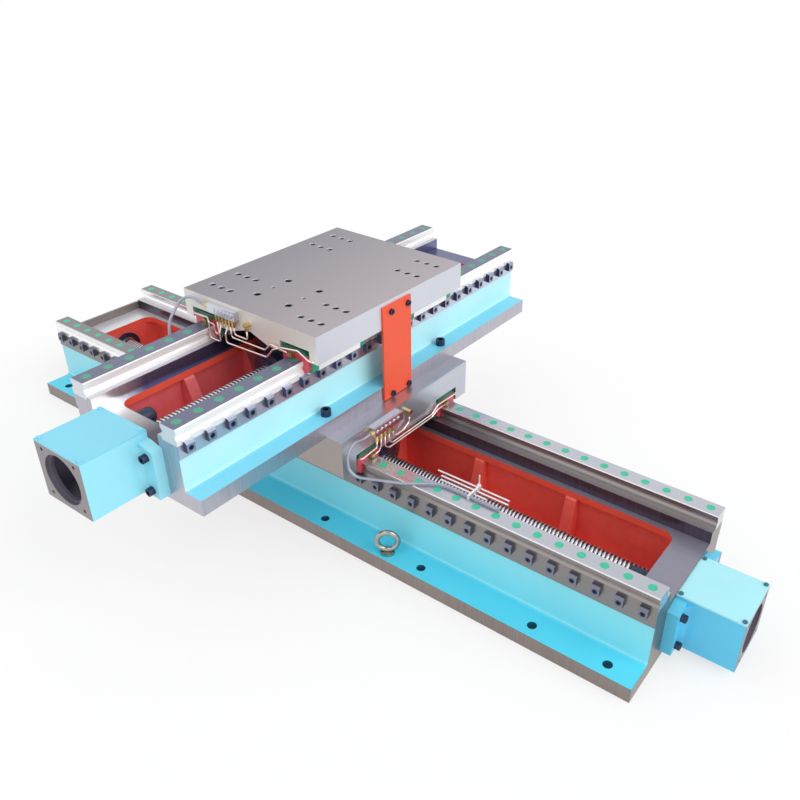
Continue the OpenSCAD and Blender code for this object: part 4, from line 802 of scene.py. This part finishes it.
def hose(name, node, body, face, corners, bends):
    """A flexible hose in a sleeve that is wound in a fine rib."""
    corners = [(face + Vector(c)) * MM for c in corners]
    bends = [r * MM for r in bends]
    path = bent(corners, bends, ROUTE_ARC_STEP)
    line = spaced(bent(corners, bends, HOSE_ARC_STEP), HOSE_RING_STEP * MM)
    sleeve = tube(line, HOSE_RADIUS * MM, HOSE_SIDES, HOSE_RIB * MM, HOSE_RIB_PITCH * MM)
    piece = tube_piece(name, node, body, [sleeve],
                       hose_skin(name + "_skin", srgb(166, 171, 186)))


pipes("saddle_oil_pipes", "saddle_pipes", "saddle", SADDLE_FACE, SADDLE_PIPES)
pipes("table_oil_pipes", "table_pipes", "table", TABLE_FACE, TABLE_PIPES)
hose("saddle_oil_hose", "saddle_hose", "saddle", SADDLE_FACE, SADDLE_HOSE, SADDLE_HOSE_BENDS)
hose("table_oil_hose", "table_hose", "table", TABLE_FACE, TABLE_HOSE, TABLE_HOSE_BENDS)


# Floor, world and lamps

WHITE = (1.0, 1.0, 1.0, 1.0)
FLOOR_SIZE = 60.0
FLOOR_LIT = (0.78, 0.78, 0.79, 1.0)
FLOOR_GLOW_SHARE = 0.65
WORLD_LIGHT = 0.68
# Height of a direction, 0 level and 1 straight up, from which metal sees a darker sky
OVERHEAD_START = 0.35
OVERHEAD_TONE = 0.7


def seen_directly(tree):
    """1 for the camera's own rays and for what metal and glass reflect or let through."""
    paths = tree.nodes.new("ShaderNodeLightPath")
    either = tree.nodes.new("ShaderNodeMath")
    either.operation = "MAXIMUM"
    tree.links.new(paths.outputs["Is Camera Ray"], either.inputs[0])
    tree.links.new(paths.outputs["Is Glossy Ray"], either.inputs[1])
    both = tree.nodes.new("ShaderNodeMath")
    both.operation = "MAXIMUM"
    tree.links.new(either.outputs[0], both.inputs[0])
    tree.links.new(paths.outputs["Is Transmission Ray"], both.inputs[1])
    return both.outputs[0]


def make_floor():
    """White floor, which keeps the object's shadow."""
    mesh = bpy.data.meshes.new("floor")
    corners = [(-1, -1), (1, -1), (1, 1), (-1, 1)]
    mesh.from_pydata([(x * FLOOR_SIZE, y * FLOOR_SIZE, 0.0) for x, y in corners],
                     [], [(0, 1, 2, 3)])
    floor = new_object("floor", mesh)
    material = bpy.data.materials.new("floor_white")
    material.use_nodes = True
    tree = material.node_tree
    tree.nodes.clear()
    pale = tree.nodes.new("ShaderNodeBsdfDiffuse")
    pale.inputs["Color"].default_value = FLOOR_LIT
    white = tree.nodes.new("ShaderNodeBsdfDiffuse")
    white.inputs["Color"].default_value = WHITE
    glow = tree.nodes.new("ShaderNodeEmission")
    glow.inputs["Color"].default_value = WHITE
    glow.inputs["Strength"].default_value = 1.0
    shown = tree.nodes.new("ShaderNodeMixShader")
    shown.inputs["Fac"].default_value = FLOOR_GLOW_SHARE
    tree.links.new(white.outputs[0], shown.inputs[1])
    tree.links.new(glow.outputs[0], shown.inputs[2])
    mix = tree.nodes.new("ShaderNodeMixShader")
    tree.links.new(seen_directly(tree), mix.inputs["Fac"])
    tree.links.new(pale.outputs[0], mix.inputs[1])
    tree.links.new(shown.outputs[0], mix.inputs[2])
    out = tree.nodes.new("ShaderNodeOutputMaterial")
    tree.links.new(mix.outputs[0], out.inputs["Surface"])
    mesh.materials.append(material)


def make_world():
    """White all round, and a little darker overhead in what metal reflects."""
    world = bpy.data.worlds.new("studio")
    bpy.context.scene.world = world
    world.use_nodes = True
    tree = world.node_tree
    light = tree.nodes["Background"]
    light.inputs["Color"].default_value = WHITE
    light.inputs["Strength"].default_value = WORLD_LIGHT
    coordinates = tree.nodes.new("ShaderNodeTexCoord")
    split = tree.nodes.new("ShaderNodeSeparateXYZ")
    tree.links.new(coordinates.outputs["Generated"], split.inputs[0])
    overhead = tree.nodes.new("ShaderNodeMapRange")
    overhead.inputs["From Min"].default_value = OVERHEAD_START
    overhead.inputs["From Max"].default_value = 1.0
    overhead.inputs["To Min"].default_value = 1.0
    overhead.inputs["To Max"].default_value = OVERHEAD_TONE
    tree.links.new(split.outputs[2], overhead.inputs["Value"])
    shown = tree.nodes.new("ShaderNodeBackground")
    tree.links.new(overhead.outputs["Result"], shown.inputs["Color"])
    mix = tree.nodes.new("ShaderNodeMixShader")
    tree.links.new(seen_directly(tree), mix.inputs["Fac"])
    tree.links.new(light.outputs[0], mix.inputs[1])
    tree.links.new(shown.outputs[0], mix.inputs[2])
    tree.links.new(mix.outputs[0], tree.nodes["World Output"].inputs["Surface"])


def soft_sun(name, towards, strength, angle):
    """A large soft lamp far away; strength 1 lights a white face square to it to white."""
    data = bpy.data.lights.new(name, "SUN")
    data.energy = strength * math.pi
    data.angle = math.radians(angle)
    lamp = new_object(name, data)
    lamp.rotation_mode = "QUATERNION"
    lamp.rotation_quaternion = Vector(towards).to_track_quat("Z", "Y")


make_floor()
make_world()
soft_sun("key", (0.85, 0.12, 0.6), 0.42, 50.0)
soft_sun("front", (-0.3, -0.7, 0.75), 0.14, 60.0)


# Camera, solved from the edges of the beds, the saddle and the table

YAW = 0.5999
PITCH = 0.553
ROLL = 0.02707
CAMERA_PLACE = (1332.3, -1373.6, 1372.6)
FOCAL_PIXELS = 833.1
CENTRE_PIXEL = (458.9, 407.4)
PICTURE_SIZE = 800.0
SENSOR = 36.0


def make_camera():
    forward = Vector((-math.sin(YAW) * math.cos(PITCH), math.cos(YAW) * math.cos(PITCH),
                      -math.sin(PITCH)))
    level = Vector((math.cos(YAW), math.sin(YAW), 0.0))
    upright = level.cross(forward)
    right = math.cos(ROLL) * level + math.sin(ROLL) * upright
    up = math.cos(ROLL) * upright - math.sin(ROLL) * level
    data = bpy.data.cameras.new("camera")
    data.sensor_width = SENSOR
    data.lens = FOCAL_PIXELS / PICTURE_SIZE * SENSOR
    data.shift_x = -(CENTRE_PIXEL[0] - PICTURE_SIZE / 2) / PICTURE_SIZE
    data.shift_y = (CENTRE_PIXEL[1] - PICTURE_SIZE / 2) / PICTURE_SIZE
    data.clip_end = 100.0
    camera = new_object("camera", data)
    camera.matrix_world = Matrix((
        (right.x, up.x, -forward.x, CAMERA_PLACE[0] * MM),
        (right.y, up.y, -forward.y, CAMERA_PLACE[1] * MM),
        (right.z, up.z, -forward.z, CAMERA_PLACE[2] * MM),
        (0.0, 0.0, 0.0, 1.0),
    ))
    bpy.context.scene.camera = camera


make_camera()
bpy.context.scene.view_settings.view_transform = "Standard"
